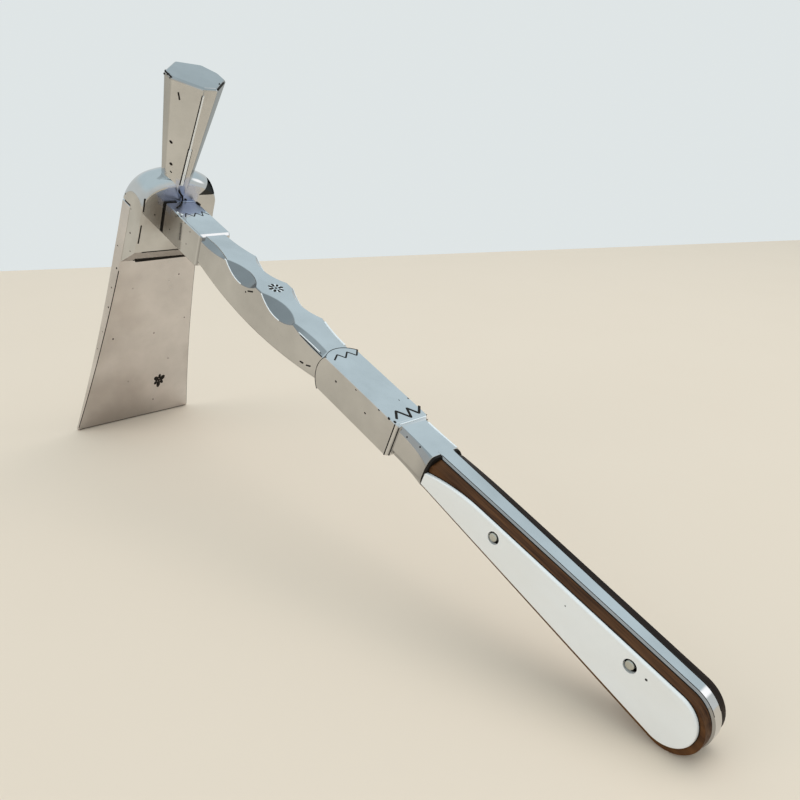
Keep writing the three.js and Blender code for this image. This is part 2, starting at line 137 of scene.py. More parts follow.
# %% Objects from points and faces
MERGE_WITHIN = 1e-5


def in_scene(name, data):
    """A new object that holds the data, put in the scene."""
    made = bpy.data.objects.new(name, data)
    bpy.context.scene.collection.objects.link(made)
    return made


def new_object(name, points, faces):
    """A mesh object in millimetres, still lying down, with its faces turned outwards."""
    mesh = bpy.data.meshes.new(name)
    mesh.from_pydata([tuple(p) for p in points], [], faces)
    work = bmesh.new()
    work.from_mesh(mesh)
    bmesh.ops.remove_doubles(work, verts=work.verts, dist=MERGE_WITHIN)
    bmesh.ops.recalc_face_normals(work, faces=work.faces)
    work.to_mesh(mesh)
    work.free()
    return in_scene(name, mesh)


def lofted(name, rings):
    return new_object(name, *skin(rings))


print(f"points closer than {MERGE_WITHIN} mm are merged")

# %% [markdown]
# ## Joining, cutting and handing over
# A forged piece is drawn as a few lofts that run into each other. A Boolean modifier unites them, and it
# also drills the holes. Each finished piece is stood up, shaded smoothly between its sharp edges, and
# told which body it rides on and which finish it has, and the solids that it replaces are hidden.

# %% Joining, cutting and finishing
def plain_mesh(piece):
    """Bakes the piece's modifiers into its mesh."""
    graph = bpy.context.evaluated_depsgraph_get()
    mesh = bpy.data.meshes.new_from_object(piece.evaluated_get(graph), depsgraph=graph)
    piece.modifiers.clear()
    piece.data = mesh
    return piece


def boolean(piece, other, operation):
    cut = piece.modifiers.new(operation.lower(), "BOOLEAN")
    cut.object = other
    cut.operation = operation
    cut.solver = "EXACT"
    plain_mesh(piece)
    bpy.data.objects.remove(other)
    return piece


def finish_piece(piece, material, replaced=(), sharp=35):
    piece.data.transform(STAND)
    piece.data.materials.clear()
    piece.data.materials.append(material)
    piece.data.shade_smooth()
    piece.data.set_sharp_from_angle(angle=math.radians(sharp))
    even = piece.modifiers.new("even shading", "WEIGHTED_NORMAL")
    even.keep_sharp = True
    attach(piece, "root")
    if replaced:
        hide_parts(*replaced)
    print(f"{piece.name}: {len(piece.data.polygons)} faces")
    return piece


# %% [markdown]
# ## Nodes in a few words
# Nodes make the finishes, and some of the shapes too. To add a node, set it and link its inputs takes
# several lines each time, so a small class, `Nodes`, does that in one. An input's name is written with
# `_` for a space, and its value is a number, a colour or the output of another node.

# %% Nodes and links
def set_or_link(tree, socket, value):
    """Links a node's output or a field, or sets a plain value."""
    value = getattr(value, "socket", value)
    if isinstance(value, bpy.types.NodeSocket):
        tree.links.new(value, socket)
    else:
        socket.default_value = value


class Nodes:
    """A node tree, and short ways to add nodes that reckon with numbers and colours."""

    def __init__(self, tree):
        self.tree = tree

    def node(self, kind, settings=None, **inputs):
        made = self.tree.nodes.new(kind)
        for key, value in (settings or {}).items():
            setattr(made, key, value)
        for key, value in inputs.items():
            set_or_link(self.tree, made.inputs[key.replace("_", " ")], value)
        return made

    def math(self, operation, *values):
        made = self.node("ShaderNodeMath", {"operation": operation})
        for socket, value in zip(made.inputs, values):
            set_or_link(self.tree, socket, value)
        return made.outputs[0]

    def plus(self, a, b):
        return self.math("ADD", a, b)

    def times(self, a, b):
        return self.math("MULTIPLY", a, b)

    def off(self, a, b):
        """How far one value is from another, either way."""
        return self.math("ABSOLUTE", self.math("SUBTRACT", a, b))

    def ramp(self, value, low, high, from_low=0.0, from_high=1.0):
        made = self.node(
            "ShaderNodeMapRange", Value=value, From_Min=from_low, From_Max=from_high,
            To_Min=low, To_Max=high)
        return made.outputs["Result"]

    def blend(self, amount, first, second):
        """A colour between two others, each of them three numbers or a node's output."""
        made = self.node("ShaderNodeMix", {"data_type": "RGBA"}, Factor=amount)
        for socket, value in zip(made.inputs[6:8], (first, second)):
            set_or_link(self.tree, socket, (*value, 1) if isinstance(value, tuple) else value)
        return made.outputs[2]


def own_methods(kind):
    return ", ".join(name for name in vars(kind) if not name.startswith("_"))


print("nodes can be added by", own_methods(Nodes))

# %% [markdown]
# ## Materials that know the tool
# A finish often follows the tool: grain runs along the grip, and dirt sits at a joint. A pattern on plain
# Object coordinates would run along the world instead. A Mapping node of the Texture type undoes the
# tilt, so that its output is a place on the tool in metres, with X along the bar.

# %% A small kit for shader nodes
RAGGED = 0.002


class Shader(Nodes):
    """A new material with its nodes, and short ways to add the ones this tool needs."""

    def __init__(self, name):
        self.material = bpy.data.materials.new(name)
        self.material.use_nodes = True
        super().__init__(self.material.node_tree)
        self.surface = self.tree.nodes["Principled BSDF"]
        where = self.node("ShaderNodeTexCoord")
        on_tool = self.node(
            "ShaderNodeMapping", {"vector_type": "TEXTURE"}, Vector=where.outputs["Object"],
            Location=ORIGIN, Rotation=(0, TILT, 0))
        self.place = on_tool.outputs["Vector"]
        self.normal = where.outputs["Normal"]
        self.edge_tint = (1.0, 1.0, 1.0)
        self.dulled = 0.0

    def place_math(self, operation, other):
        made = self.node("ShaderNodeVectorMath", {"operation": operation}, Vector=self.place)
        made.inputs[1].default_value = other
        return made

    def stretched(self, x, y, z):
        return self.place_math("MULTIPLY", (x, y, z)).outputs["Vector"]

    def axis(self, which):
        return self.node("ShaderNodeSeparateXYZ", Vector=self.place).outputs[which]

    def facing(self, which):
        return self.node("ShaderNodeSeparateXYZ", Vector=self.normal).outputs[which]

    def noise(self, vector, scale, detail=2.0, roughness=0.5):
        made = self.node(
            "ShaderNodeTexNoise", Vector=vector, Scale=scale, Detail=detail, Roughness=roughness)
        return made.outputs["Fac"]

    def away_from(self, place, scale, detail):
        """Distance from a place on the tool, made ragged by a noise."""
        apart = self.place_math("DISTANCE", place).outputs["Value"]
        return self.plus(apart, self.ramp(self.noise(self.place, scale, detail), -RAGGED, RAGGED))

    def dots(self, scale, size, channel, above):
        """A dot in each cell of a Voronoi texture, kept where a random value of the cell is high enough."""
        cells = self.node("ShaderNodeTexVoronoi", Vector=self.place, Scale=scale)
        near = self.math("LESS_THAN", cells.outputs["Distance"], size)
        lot = self.node("ShaderNodeSeparateColor", Color=cells.outputs["Color"]).outputs[channel]
        return self.times(near, self.math("GREATER_THAN", lot, above))

    def bump(self, height, strength, distance):
        made = self.node("ShaderNodeBump", Height=height, Strength=strength, Distance=distance)
        self.set(Normal=made.outputs["Normal"])

    def set(self, **sockets):
        for key, value in sockets.items():
            value = (*value, 1) if isinstance(value, tuple) and len(value) == 3 else value
            set_or_link(self.tree, self.surface.inputs[key.replace("_", " ")], value)
        return self


print("a shader can also use", own_methods(Shader))

# %% [markdown]
# ## Polished steel
# The steel is plated and buffed almost to a mirror. What makes it believable is what breaks the mirror:
# cloudy patches where the buffing was uneven, fine hairlines along the bar, and a few dark pits. The pits
# are cells of a Voronoi texture, of which a second random value keeps only some. Faces that look down
# are painted browner, a painted shade.

# %% Steel
CLOUD_SCALE = 55
HAIRLINE_STRETCH = (60, 1400, 1400)
CLOUD_DULLS = 0.84
CLOUD_FADE = (0.35, 0.7)
CLOUD_ROUGH = (0.3, 0.75)
HAIRLINE_FADE = (0.45, 0.8)
UNDERSIDE_FACES = (-0.85, -0.5)
UNDERSIDE_SHADE = (0.16, 0.115, 0.08)
UNDERSIDE_SHADE_AMOUNT = 0.4
PIT_CELLS = {"scale": 170.0, "size": 0.055, "channel": 0, "above": 0.8}
PIT_DIRT = (0.035, 0.03, 0.025)
PIT_ROUGH = 0.4
PIT_DEEP = -2
UNEVEN_SCALE = 120


def polished_steel(name, tint, shine, cloud, hairlines, wear_and_shade=()):
    """Plated steel. A wear or shade function takes the shader and a colour, and gives it worn or painted
    with shade.
    """
    s = Shader(name)
    cloudy = s.noise(s.place, CLOUD_SCALE, detail=4, roughness=0.6)
    lines = s.noise(s.stretched(*HAIRLINE_STRETCH), 1, detail=3)
    pitted = s.dots(**PIT_CELLS)
    clouded = tuple(c * CLOUD_DULLS for c in tint)
    colour = s.blend(s.ramp(cloudy, 0, 1, *CLOUD_FADE), tint, clouded)
    for worn in wear_and_shade:
        colour = worn(s, colour)
    # Painted shade: faces that look down are blended towards a brown.
    under = s.ramp(s.facing("Z"), UNDERSIDE_SHADE_AMOUNT, 0.0, *UNDERSIDE_FACES)
    colour = s.blend(under, colour, UNDERSIDE_SHADE)
    rough = s.ramp(cloudy, shine, shine + cloud, *CLOUD_ROUGH)
    rough = s.plus(rough, s.ramp(lines, 0, hairlines, *HAIRLINE_FADE))
    rough = s.plus(s.plus(rough, s.dulled), s.times(pitted, PIT_ROUGH))
    s.set(Base_Color=s.blend(pitted, colour, PIT_DIRT), Specular_Tint=s.edge_tint)
    s.set(Metallic=1.0, Roughness=rough)
    uneven = s.plus(s.noise(s.place, UNEVEN_SCALE, detail=1), s.times(pitted, PIT_DEEP))
    s.bump(uneven, strength=0.06, distance=0.0004)
    return s.material


cell_width = 1 / PIT_CELLS["scale"] / MM
print(f"steel: pits in {1 - PIT_CELLS['above']:.0%} of its cells, which are {cell_width:.1f} mm wide")

# %% [markdown]
# The hollows that the file left are painted greyer, and the sides of the bar are painted a little darker
# than its top; both are painted shade. A face's normal tells what it is: it points up on the top, sideways
# on a side, and in between in a hollow.

# %% Painted shade in the filed hollows and on the sides
SCALLOPS_MIDDLE = 0.0582
SCALLOPS_END = (0.0205, 0.0235)
SCALLOP_GREY = 0.54
HOLLOW_GREY = 0.42
BOLSTER_MIDDLE = 0.1080
BOLSTER_EDGE = (0.0168, 0.0172)
BLOCK_EDGE = (0.0230, 0.0236)
SIDE_FACES = (0.955, 0.985)
HOLLOW_FACES = (0.3, 0.5)
SIDE_GREY = 0.16
HOLLOW_SHADE = (0.0, 0.0, 0.0)
SIDE_SHADE = (0.05, 0.03, 0.0)


def painted_hollow_and_side_shade(s, colour):
    """Painted shade: the file-cut faces are grey, greyest in the scallops, and the sides a bit darker."""
    sideways = s.math("ABSOLUTE", s.facing("Y"))
    side = s.ramp(sideways, 0, 1, *SIDE_FACES)
    hollow = s.math("SUBTRACT", s.ramp(sideways, 0, 1, *HOLLOW_FACES), side)
    hollow = s.times(hollow, s.ramp(s.off(s.axis("X"), BOLSTER_MIDDLE), 0, 1, *BOLSTER_EDGE))
    hollow = s.times(hollow, s.ramp(s.axis("X"), 0, 1, *BLOCK_EDGE))
    depth = s.ramp(s.off(s.axis("X"), SCALLOPS_MIDDLE), SCALLOP_GREY, HOLLOW_GREY, *SCALLOPS_END)
    greyed = s.blend(s.times(hollow, depth), colour, HOLLOW_SHADE)
    return s.blend(s.times(side, SIDE_GREY), greyed, SIDE_SHADE)


greyest = [round((SCALLOPS_MIDDLE + way * SCALLOPS_END[0]) / MM, 1) for way in (-1, 1)]
print("greyest between", *greyest, "mm along the bar")

# %% [markdown]
# A painted blue reflection lies round the joint of the head, and painted brown shade sits in the corners
# beside it. Both are clouds round a place, with a ragged outline. A black three-cornered spot on the far
# shoulder of the crown is a painted dark reflection, and its three straight edges are three comparisons.

# %% Painted reflections and shade at the joint
BLUE_REFLECTION_MIDDLE = Vector((0.0025, 0.0, 0.0075))
BLUE_REFLECTION_EDGE = (0.0066, 0.0080)
BLUE_REFLECTION_FRONT = (-0.0004, -0.0001)
BLUE_REFLECTION_AMOUNT = 0.72
BLUE_REFLECTION_ROUGH = 0.34
UPRIGHT_FACES = (0.1, 0.6)
BLUE_REFLECTION_TONES = ((0.50, 0.55, 0.70), (0.37, 0.42, 0.58))
SHADED_CORNERS = (
    (Vector((0.001, -0.0070, 0.002)), (0.004, 0.0095), 0.36),
    (Vector((-0.004, 0.004, -0.017)), (0.004, 0.012), 0.38),
)
CORNER_SHADE = (0.11, 0.07, 0.035)
DARK_SPOT_ACROSS = 0.0068
DARK_SPOT_UP = 0.0078
DARK_SPOT_SLANT = 0.9
DARK_SPOT_BACK = -0.0045
DARK_REFLECTION = (0.01, 0.012, 0.012)
DARK_REFLECTION_AMOUNT = 0.94
DARK_REFLECTION_TINT = (0.1, 0.1, 0.1)


def painted_blue_reflection(s, colour):
    """Painted blue reflection round the joint, paler on upright faces, and duller than the bare steel."""
    cloud = s.ramp(s.away_from(BLUE_REFLECTION_MIDDLE, scale=320, detail=2), BLUE_REFLECTION_AMOUNT, 0.0, *BLUE_REFLECTION_EDGE)
    near = s.times(cloud, s.ramp(s.axis("X"), 0, 1, *BLUE_REFLECTION_FRONT))
    s.dulled = s.times(near, BLUE_REFLECTION_ROUGH)
    blue = s.blend(s.ramp(s.facing("Z"), 0, 1, *UPRIGHT_FACES), *BLUE_REFLECTION_TONES)
    return s.blend(near, colour, blue)


def painted_corner_shade(s, colour):
    """Painted brown shade in the corner beside the block, and at the hub's foot."""
    for place, edge, amount in SHADED_CORNERS:
        away = s.away_from(place, scale=260, detail=3)
        colour = s.blend(s.ramp(away, amount, 0.0, *edge), colour, CORNER_SHADE)
    return colour


def painted_dark_reflection(s, colour):
    """A painted dark reflection: a black three-cornered spot on the far shoulder of the crown."""
    across = s.math("SUBTRACT", s.axis("Y"), DARK_SPOT_ACROSS)
    up = s.math("SUBTRACT", s.axis("Z"), DARK_SPOT_UP)
    under_slant = s.math("GREATER_THAN", s.times(across, DARK_SPOT_SLANT), up)
    above = s.math("GREATER_THAN", up, 0.0)
    # scale is the mask of the painted dark reflection's spot.
    scale = s.times(s.times(under_slant, above), s.math("GREATER_THAN", s.axis("X"), DARK_SPOT_BACK))
    s.edge_tint = s.blend(scale, s.edge_tint, DARK_REFLECTION_TINT)
    return s.blend(s.times(scale, DARK_REFLECTION_AMOUNT), colour, DARK_REFLECTION)


# The corners counted here hold painted shade.
print(f"blue up to {BLUE_REFLECTION_EDGE[1] / MM:.0f} mm round the joint, and dirt in {len(SHADED_CORNERS)} corners")

# %% [markdown]
# The striking face is dull from use, and two facets of the poll are painted darker than the others, as
# painted shade. Steel also turns white where we look along it, which would hide that, so the far facet's
# edge tint is painted darker too. The blade is only satin bright, with broad brownish stains.

# %% Wear and painted shade of the poll, and the blade
POLL_FROM = (0.0150, 0.0165)
FAR_FACES = (0.4, 0.6)
LEFT_FACES = (-0.95, -0.85)
FAR_SHADE_TINT = (0.56, 0.56, 0.54)
FAR_TO_LEFT = 2.0
LEFT_SHADE_AMOUNT = 0.22
POLL_SHADE = (0.03, 0.03, 0.03)
STRIKING_FROM = (0.0470, 0.0474)
STRIKING_AMOUNT = 0.28
STRIKING_SHADE = (0.02, 0.02, 0.02)
STAIN_STRETCH = (1, 1, 0.7)
STAIN_SCALE = 34
STAIN_FADE = (0.38, 0.6)
STAIN_AMOUNT = 0.34
STAIN = (0.30, 0.25, 0.21)


def painted_poll_facet_shade(s, colour):
    """Painted shade on the narrow left facet and the far facet of the poll."""
    on_poll = s.ramp(s.axis("Z"), 0, 1, *POLL_FROM)
    far = s.times(s.ramp(s.facing("Y"), 0, 1, *FAR_FACES), on_poll)
    left = s.times(s.ramp(s.facing("Y"), 1, 0, *LEFT_FACES), on_poll)
    s.edge_tint = s.blend(far, s.edge_tint, FAR_SHADE_TINT)
    shaded = s.math("MAXIMUM", s.times(far, FAR_TO_LEFT), left)
    return s.blend(s.times(shaded, LEFT_SHADE_AMOUNT), colour, POLL_SHADE)


def dull_face(s, colour):
    return s.blend(s.ramp(s.axis("Z"), 0.0, STRIKING_AMOUNT, *STRIKING_FROM), colour, STRIKING_SHADE)


def stained(s, colour):
    """Broad brownish stains, and paler places between them."""
    broad = s.noise(s.stretched(*STAIN_STRETCH), STAIN_SCALE, detail=3)
    return s.blend(s.ramp(broad, STAIN_AMOUNT, 0.0, *STAIN_FADE), colour, STAIN)


print(f"poll's wear from {POLL_FROM[0] / MM:.0f} mm up, its face's from {STRIKING_FROM[0] / MM:.0f} mm up")

# %% The four finishes of steel
# Wear, painted reflections and painted shade of the head and the bar.
HEAD_WEAR_AND_SHADE = (painted_blue_reflection, painted_corner_shade, painted_dark_reflection, painted_poll_facet_shade, dull_face)
BAR_WEAR_AND_SHADE = (painted_hollow_and_side_shade, painted_blue_reflection, painted_corner_shade)
MIRROR = {"shine": 0.04, "cloud": 0.07, "hairlines": 0.05}
HEAD_STEEL = polished_steel("head_steel", (0.62, 0.62, 0.61), **MIRROR, wear_and_shade=HEAD_WEAR_AND_SHADE)
BAR_STEEL = polished_steel("bar_steel", (0.68, 0.68, 0.675), **MIRROR, wear_and_shade=BAR_WEAR_AND_SHADE)
SATIN = polished_steel(
    "satin_blade_steel", (0.72, 0.695, 0.69), shine=0.12, cloud=0.1, hairlines=0.1, wear_and_shade=(stained,))
WORN_PIN = polished_steel("worn_pin_steel", (0.6, 0.61, 0.56), shine=0.3, cloud=0.15, hairlines=0.1)
print("steel finishes:", HEAD_STEEL.name, BAR_STEEL.name, SATIN.name, WORN_PIN.name)

# %% [markdown]
# Glints along some edges are painted highlights: a pale, fairly rough stroke, a little round, which looks
# white from everywhere. It could be painted on by a mask, but it is far narrower than a face. So it gets a
# finish of its own, for thin strokes that lie along the edges.

# %% Painted highlights on edges
HIGHLIGHT_SPECKLE_SCALE = 700
HIGHLIGHT_TONES = ((0.95, 0.96, 0.96), (0.80, 0.82, 0.83))


# Painted highlight: a pale, speckled finish for strokes that stand in for glints on edges.
def bright_edge():
    s = Shader("bright_edge")
    speckle = s.noise(s.place, HIGHLIGHT_SPECKLE_SCALE, detail=2)
    s.set(Base_Color=s.blend(speckle, *HIGHLIGHT_TONES), Metallic=0.35, Roughness=s.ramp(speckle, 0.3, 0.5))
    return s.material


PAINTED_HIGHLIGHT = bright_edge()
print("edges:", PAINTED_HIGHLIGHT.name)

# %% [markdown]
# ## The bar's square block and tenon
# Behind the head the bar is a square block. A square tenon goes on through the head and is hammered flat
# at the back. Both are one loft: rings of the tenon, then rings of the block, which starts at the joint,
# up to its far end with a file-cut bevel.

# %% Block and tenon
GAP = 0.3
HUB_FRONT_DEPTH = 7.6
BLADE_THICK = 5.5
BLADE_FRONT = -HUB_FRONT_DEPTH - GAP
BLADE_BACK = BLADE_FRONT - BLADE_THICK
TENON = 7.4
TENON_FACET = 0.5
TENON_PROUD = 0.7
TENON_ROUNDING = ((1.0, 1.0), (0.6, 0.25), (0.0, 0.0))
BLOCK_WIDTH = 11.7
BLOCK_HEIGHT = 11.6
BLOCK_LENGTH = 23.9
BLOCK_FACET = 0.3
BLOCK_BEVEL = 0.6
BLOCK_JOINT = 0.75
FRONT_ROUNDING = ((0.0, 0.4), (0.12, 0.12), (0.4, 0.0))
REAR_BEVEL = ((2.1 * BLOCK_BEVEL, 0.0), (1.8 * BLOCK_BEVEL, 0.1), (0.1, 0.9), (0.0, 1.2))
WORN = 0.22


def bar_ring(x, half, top, bottom, upper, lower, far=None, worn=WORN):
    """Eight-cornered section across the bar. A facet is given as its reach across and down."""
    far = far or upper
    corners = [
        (half, top - far[1]), (half - far[0], top), (upper[0] - half, top), (-half, top - upper[1]),
        (-half, bottom + lower[1]), (lower[0] - half, bottom),
        (half - lower[0], bottom), (half, bottom + lower[1]),
    ]
    return [(x, p.x, p.y) for p in softened(corners, worn)]


def square_ring(x, width, height, facet, drawn_in=0.0):
    half, rise = width / 2 - drawn_in, height / 2 - drawn_in
    return bar_ring(x, half, rise, -rise, (facet, facet), (facet, facet))


def tenon_ring(x, drawn_in=0.0):
    return square_ring(x, TENON, TENON, TENON_FACET, drawn_in)


def block_ring(x, drawn_in=0.0):
    return square_ring(x, BLOCK_WIDTH, BLOCK_HEIGHT, BLOCK_FACET, drawn_in)


bar = lofted("polished_bar", [
    *(tenon_ring(BLADE_BACK - out * TENON_PROUD, share * TENON_PROUD) for out, share in TENON_ROUNDING),
    tenon_ring(BLOCK_JOINT),
    *(block_ring(BLOCK_JOINT + ahead, drawn_in) for ahead, drawn_in in FRONT_ROUNDING),
    *(block_ring(BLOCK_LENGTH - back, share * BLOCK_BEVEL) for back, share in REAR_BEVEL),
])
print(f"tenon's end at {BLADE_BACK - TENON_PROUD:.1f} mm, block to {BLOCK_LENGTH:.1f} mm")

# %% [markdown]
# ## Fields that add up like numbers
# The scalloped shank follows a rule, so Geometry Nodes can make it, and its sizes stay as inputs that can
# be changed. A rule of a dozen formulas is hard to read as a tangle of Math nodes. `Field` wraps a socket
# so that plain Python arithmetic adds the Math nodes for us, and `Tree` looks after the inputs and the
# result.

# %% Fields
def with_other(operation):
    """A method that joins a field and another value by a Math node."""
    return lambda self, other: self.math(operation, other)


class Field:
    """A socket of a tree that can be reckoned with like a number."""

    def __init__(self, tree, socket):
        self.tree = tree
        self.socket = socket

    def math(self, operation, *others):
        return self.tree.field(self.tree.math(operation, self, *others))

    __add__ = with_other("ADD")
    __sub__ = with_other("SUBTRACT")
    __mul__ = with_other("MULTIPLY")
    __truediv__ = with_other("DIVIDE")
    __mod__ = with_other("FLOORED_MODULO")
    __lt__ = with_other("LESS_THAN")
    __gt__ = with_other("GREATER_THAN")
    high = with_other("MAXIMUM")
    low = with_other("MINIMUM")

    def flipped(self, start=0.0):
        """The start less this value."""
        return self.math("MULTIPLY_ADD", -1.0, start)

    def root(self):
        return self.math("SQRT")

    def size(self):
        return self.math("ABSOLUTE")

    def floor(self):
        return self.math("FLOOR")


print("a field can do", own_methods(Field))


# %% Trees
class Tree(Nodes):
    """A Geometry Nodes tree with named inputs, and the object that it makes."""

    def __init__(self, name, **sizes):
        super().__init__(bpy.data.node_groups.new(name, "GeometryNodeTree"))
        for way in ("INPUT", "OUTPUT"):
            self.tree.interface.new_socket("Geometry", in_out=way, socket_type="NodeSocketGeometry")
        self.sizes = sizes
        self.sockets = {}
        for label, value in sizes.items():
            kind = "NodeSocketInt" if isinstance(value, int) else "NodeSocketFloat"
            self.sockets[label] = self.tree.interface.new_socket(label, in_out="INPUT", socket_type=kind)
        self.start = self.node("NodeGroupInput")
        self.end = self.node("NodeGroupOutput")

    def size(self, label):
        return self.field(self.start.outputs[label])

    def field(self, socket):
        return Field(self, socket)

    def add(self, kind, settings=None, **inputs):
        """Adds a node and gives its first output."""
        return self.node(kind, settings, **inputs).outputs[0]

    def vector(self, x, y, z):
        return self.add("ShaderNodeCombineXYZ", X=x, Y=y, Z=z)

    def position(self):
        return self.add("GeometryNodeInputPosition")

    def parts(self, vector):
        """The three numbers of a vector."""
        return [self.field(s) for s in self.node("ShaderNodeSeparateXYZ", Vector=vector).outputs]

    def random(self, lowest, highest):
        """A random value for each point, by the tree's own seed."""
        made = self.node("FunctionNodeRandomValue", {"data_type": "FLOAT"}, Seed=self.size("Seed"))
        made.inputs[2].default_value = lowest
        made.inputs[3].default_value = highest
        return self.field(made.outputs[1])

    def stored(self, name, kind):
        """A value that each point carries under a name."""
        return self.add("GeometryNodeInputNamedAttribute", {"data_type": kind}, Name=name)

    def turned(self, axis, vector):
        """A rotation that points an axis along a vector."""
        return self.add("FunctionNodeAlignRotationToVector", {"axis": axis}, Vector=vector)

    def on_points(self, points, shape, turned, scale):
        return self.add(
            "GeometryNodeInstanceOnPoints", Points=points, Instance=shape, Rotation=turned, Scale=scale)

    def make(self, geometry, piece, material):
        """Closes the tree, runs it on a piece with the sizes as its inputs and keeps the plain mesh."""
        whole = self.add("GeometryNodeRealizeInstances", Geometry=geometry)
        coloured = self.add("GeometryNodeSetMaterial", Geometry=whole, Material=material)
        self.tree.links.new(coloured, self.end.inputs[0])
        made = piece.modifiers.new(self.tree.name, "NODES")
        made.node_group = self.tree
        for label, value in self.sizes.items():
            made[self.sockets[label].identifier] = value
        return plain_mesh(piece)


def blank(name):
    """An object of one point, for a tree that needs nothing to start from."""
    return new_object(name, [(0, 0, 0)], [])


print("a tree can use", own_methods(Tree))

# %% [markdown]
# ## The scalloped shank
# Between block and bolster the bar swells, with a deeper belly than top. A round file was drawn across
# each upper edge twice, which leaves two hollow scallops, and a shallow long hollow runs out at both
# ends. A file of radius R, sunk to a depth D, leaves a flat across the edge whose depth is an arc along
# the bar. So the shank is a tube of eight-cornered rings in which only the width of the upper facets
# obeys the file. Every corner is doubled, a little apart, so that the edge looks worn and not razor
# sharp.

# %% The shank's sizes
SHANK_LENGTH = 66.7
SHANK_END = BLOCK_LENGTH + SHANK_LENGTH
SHANK_CORNERS = 8
SHANK_SLOTS = 2 * SHANK_CORNERS
shank = Tree(
    "scalloped_shank", Length=SHANK_LENGTH, Lap=2.0, End_half=5.3, Mid_half=5.9, End_top=5.4, Mid_top=6.3,
    End_belly=4.8, Mid_belly=8.0, Belly_facet=1.1, Edge=0.24, Wear=0.12, File_radius=18.6, File_depth=2.35,
    Pitch=21.1, Middle=34.3, Hollow_radius=70.0, Hollow_depth=1.15, Start=BLOCK_LENGTH, Rings=420)
tube = shank.add(
    "GeometryNodeMeshCylinder", {"fill_type": "NGON"}, Radius=1.0, Depth=2.0, Vertices=SHANK_SLOTS,
    Side_Segments=shank.size("Rings"))
across, upward, along = shank.parts(shank.position())
lap = shank.size("Lap") / shank.size("Length")
share = along.math("MULTIPLY_ADD", 0.5, 0.5).math("MULTIPLY_ADD", lap * 2.0 + 1.0, lap.flipped())
station = share * shank.size("Length")
print("shank's inputs:", ", ".join(shank.sizes))

# %% [markdown]
# The rule has two steps. First comes the width of the facet that the files leave at this station, which
# is the widest of all their cuts. Then each point of the tube is sent to its corner of the ring.

# %% The facet that the files leave
ROOT_TWO = math.sqrt(2)


def swell(t, end, mid):
    """A level that is end at both ends of the shank and mid halfway."""
    bow = t * t.flipped(1.0) * 4.0
    return bow.math("MULTIPLY_ADD", shank.size(mid) - shank.size(end), shank.size(end))


def edge_out(t):
    """How far out the square edge lies, measured at 45 degrees."""
    return (swell(t, "End_half", "Mid_half") + swell(t, "End_top", "Mid_top")) / ROOT_TWO


def filed(centre, radius, depth):
    """Width of the flat that a round file leaves across the edge at this station."""
    off = station - centre
    arc = (radius * radius - off * off).high(0.0).root()
    level = edge_out(centre / shank.size("Length")) + radius - depth - arc
    return (edge_out(share) - level) * ROOT_TWO


facet = shank.size("Edge") + 0.0
for pitches in (-0.5, 0.5):
    centre = shank.size("Middle") + shank.size("Pitch") * pitches
    facet = facet.high(filed(centre, shank.size("File_radius"), shank.size("File_depth")))
for end in (0.0, 1.0):
    centre = shank.size("Length") * end
    facet = facet.high(filed(centre, shank.size("Hollow_radius"), shank.size("Hollow_depth")))
print("the facet's rule takes", len(shank.tree.nodes), "nodes")

# %% The shank's rings
LAST_UPPER = 3.5
NEAREST = 0.01
MOST_NUDGE = 0.4


def shank_corner(number):
    """Across and up of one of the eight corners, counted from the right side over the top."""
    right = ((number - LAST_UPPER).size() > 2.0) * 2.0 - 1.0
    upper = number < LAST_UPPER
    lower = upper.flipped(1.0)
    level_side = ((number % 4.0) - 1.5).size() < 1.0
    cut = upper * facet + lower * shank.size("Belly_facet")
    reach = upper * swell(share, "End_top", "Mid_top") + lower * swell(share, "End_belly", "Mid_belly")
    y = right * (swell(share, "End_half", "Mid_half") - level_side * cut)
    z = (upper * 2.0 - 1.0) * (reach - level_side.flipped(1.0) * cut)
    return y, z


turn = upward.math("ARCTAN2", across) / math.tau * SHANK_SLOTS
slot_number = (turn + (SHANK_SLOTS + 0.5)).floor() % SHANK_SLOTS
corner_number = (slot_number / 2.0).floor()
next_way = (slot_number % 2.0) * 2.0 - 1.0
corner = shank_corner(corner_number)
next_corner = shank_corner((corner_number + next_way + SHANK_CORNERS) % SHANK_CORNERS)
between = [b - a for a, b in zip(corner, next_corner)]
distance = (between[0] * between[0] + between[1] * between[1]).root().high(NEAREST)
nudge = (shank.size("Wear") / distance).low(MOST_NUDGE)
ring_y, ring_z = (a + d * nudge for a, d in zip(corner, between))
on_ring = shank.vector(station + shank.size("Start"), ring_y, ring_z)
shaped = shank.add("GeometryNodeSetPosition", Geometry=tube, Position=on_ring)
shank_piece = shank.make(shaped, blank("shank_stretch"), BAR_STEEL)
shank_reach = [v.co.x for v in shank_piece.data.vertices]
print(f"shank from {min(shank_reach):.1f} to {max(shank_reach):.1f} mm")

# %% [markdown]
# ## Bolster and neck
# The bolster is a square bar whose front end is filed to a dome. A ring across the dome is the square
# where it lies inside the sphere, and an arc of the sphere at its corners. After a bevel the neck takes
# over, a waist with facets that flares to the shoulder in front of the scales. One loft carries all of
# it.

# %% Rings of the bolster
BOLSTER_WIDTH = 11.9
BOLSTER_HEIGHT = 11.3
BOLSTER_AXIS = -0.15
BOLSTER_LENGTH = 34.8
BOLSTER_END = SHANK_END + BOLSTER_LENGTH
BOLSTER_FACET = (0.35, 0.35)
BOLSTER_BEVEL = 1.2
DOME = 10.0
DOME_START = math.asin(0.3)
DOME_SHORT = 0.2
AFTER_DOME = 0.4
DOME_MIDDLE = SHANK_END + math.sqrt(DOME ** 2 - (BOLSTER_HEIGHT / 2) ** 2)


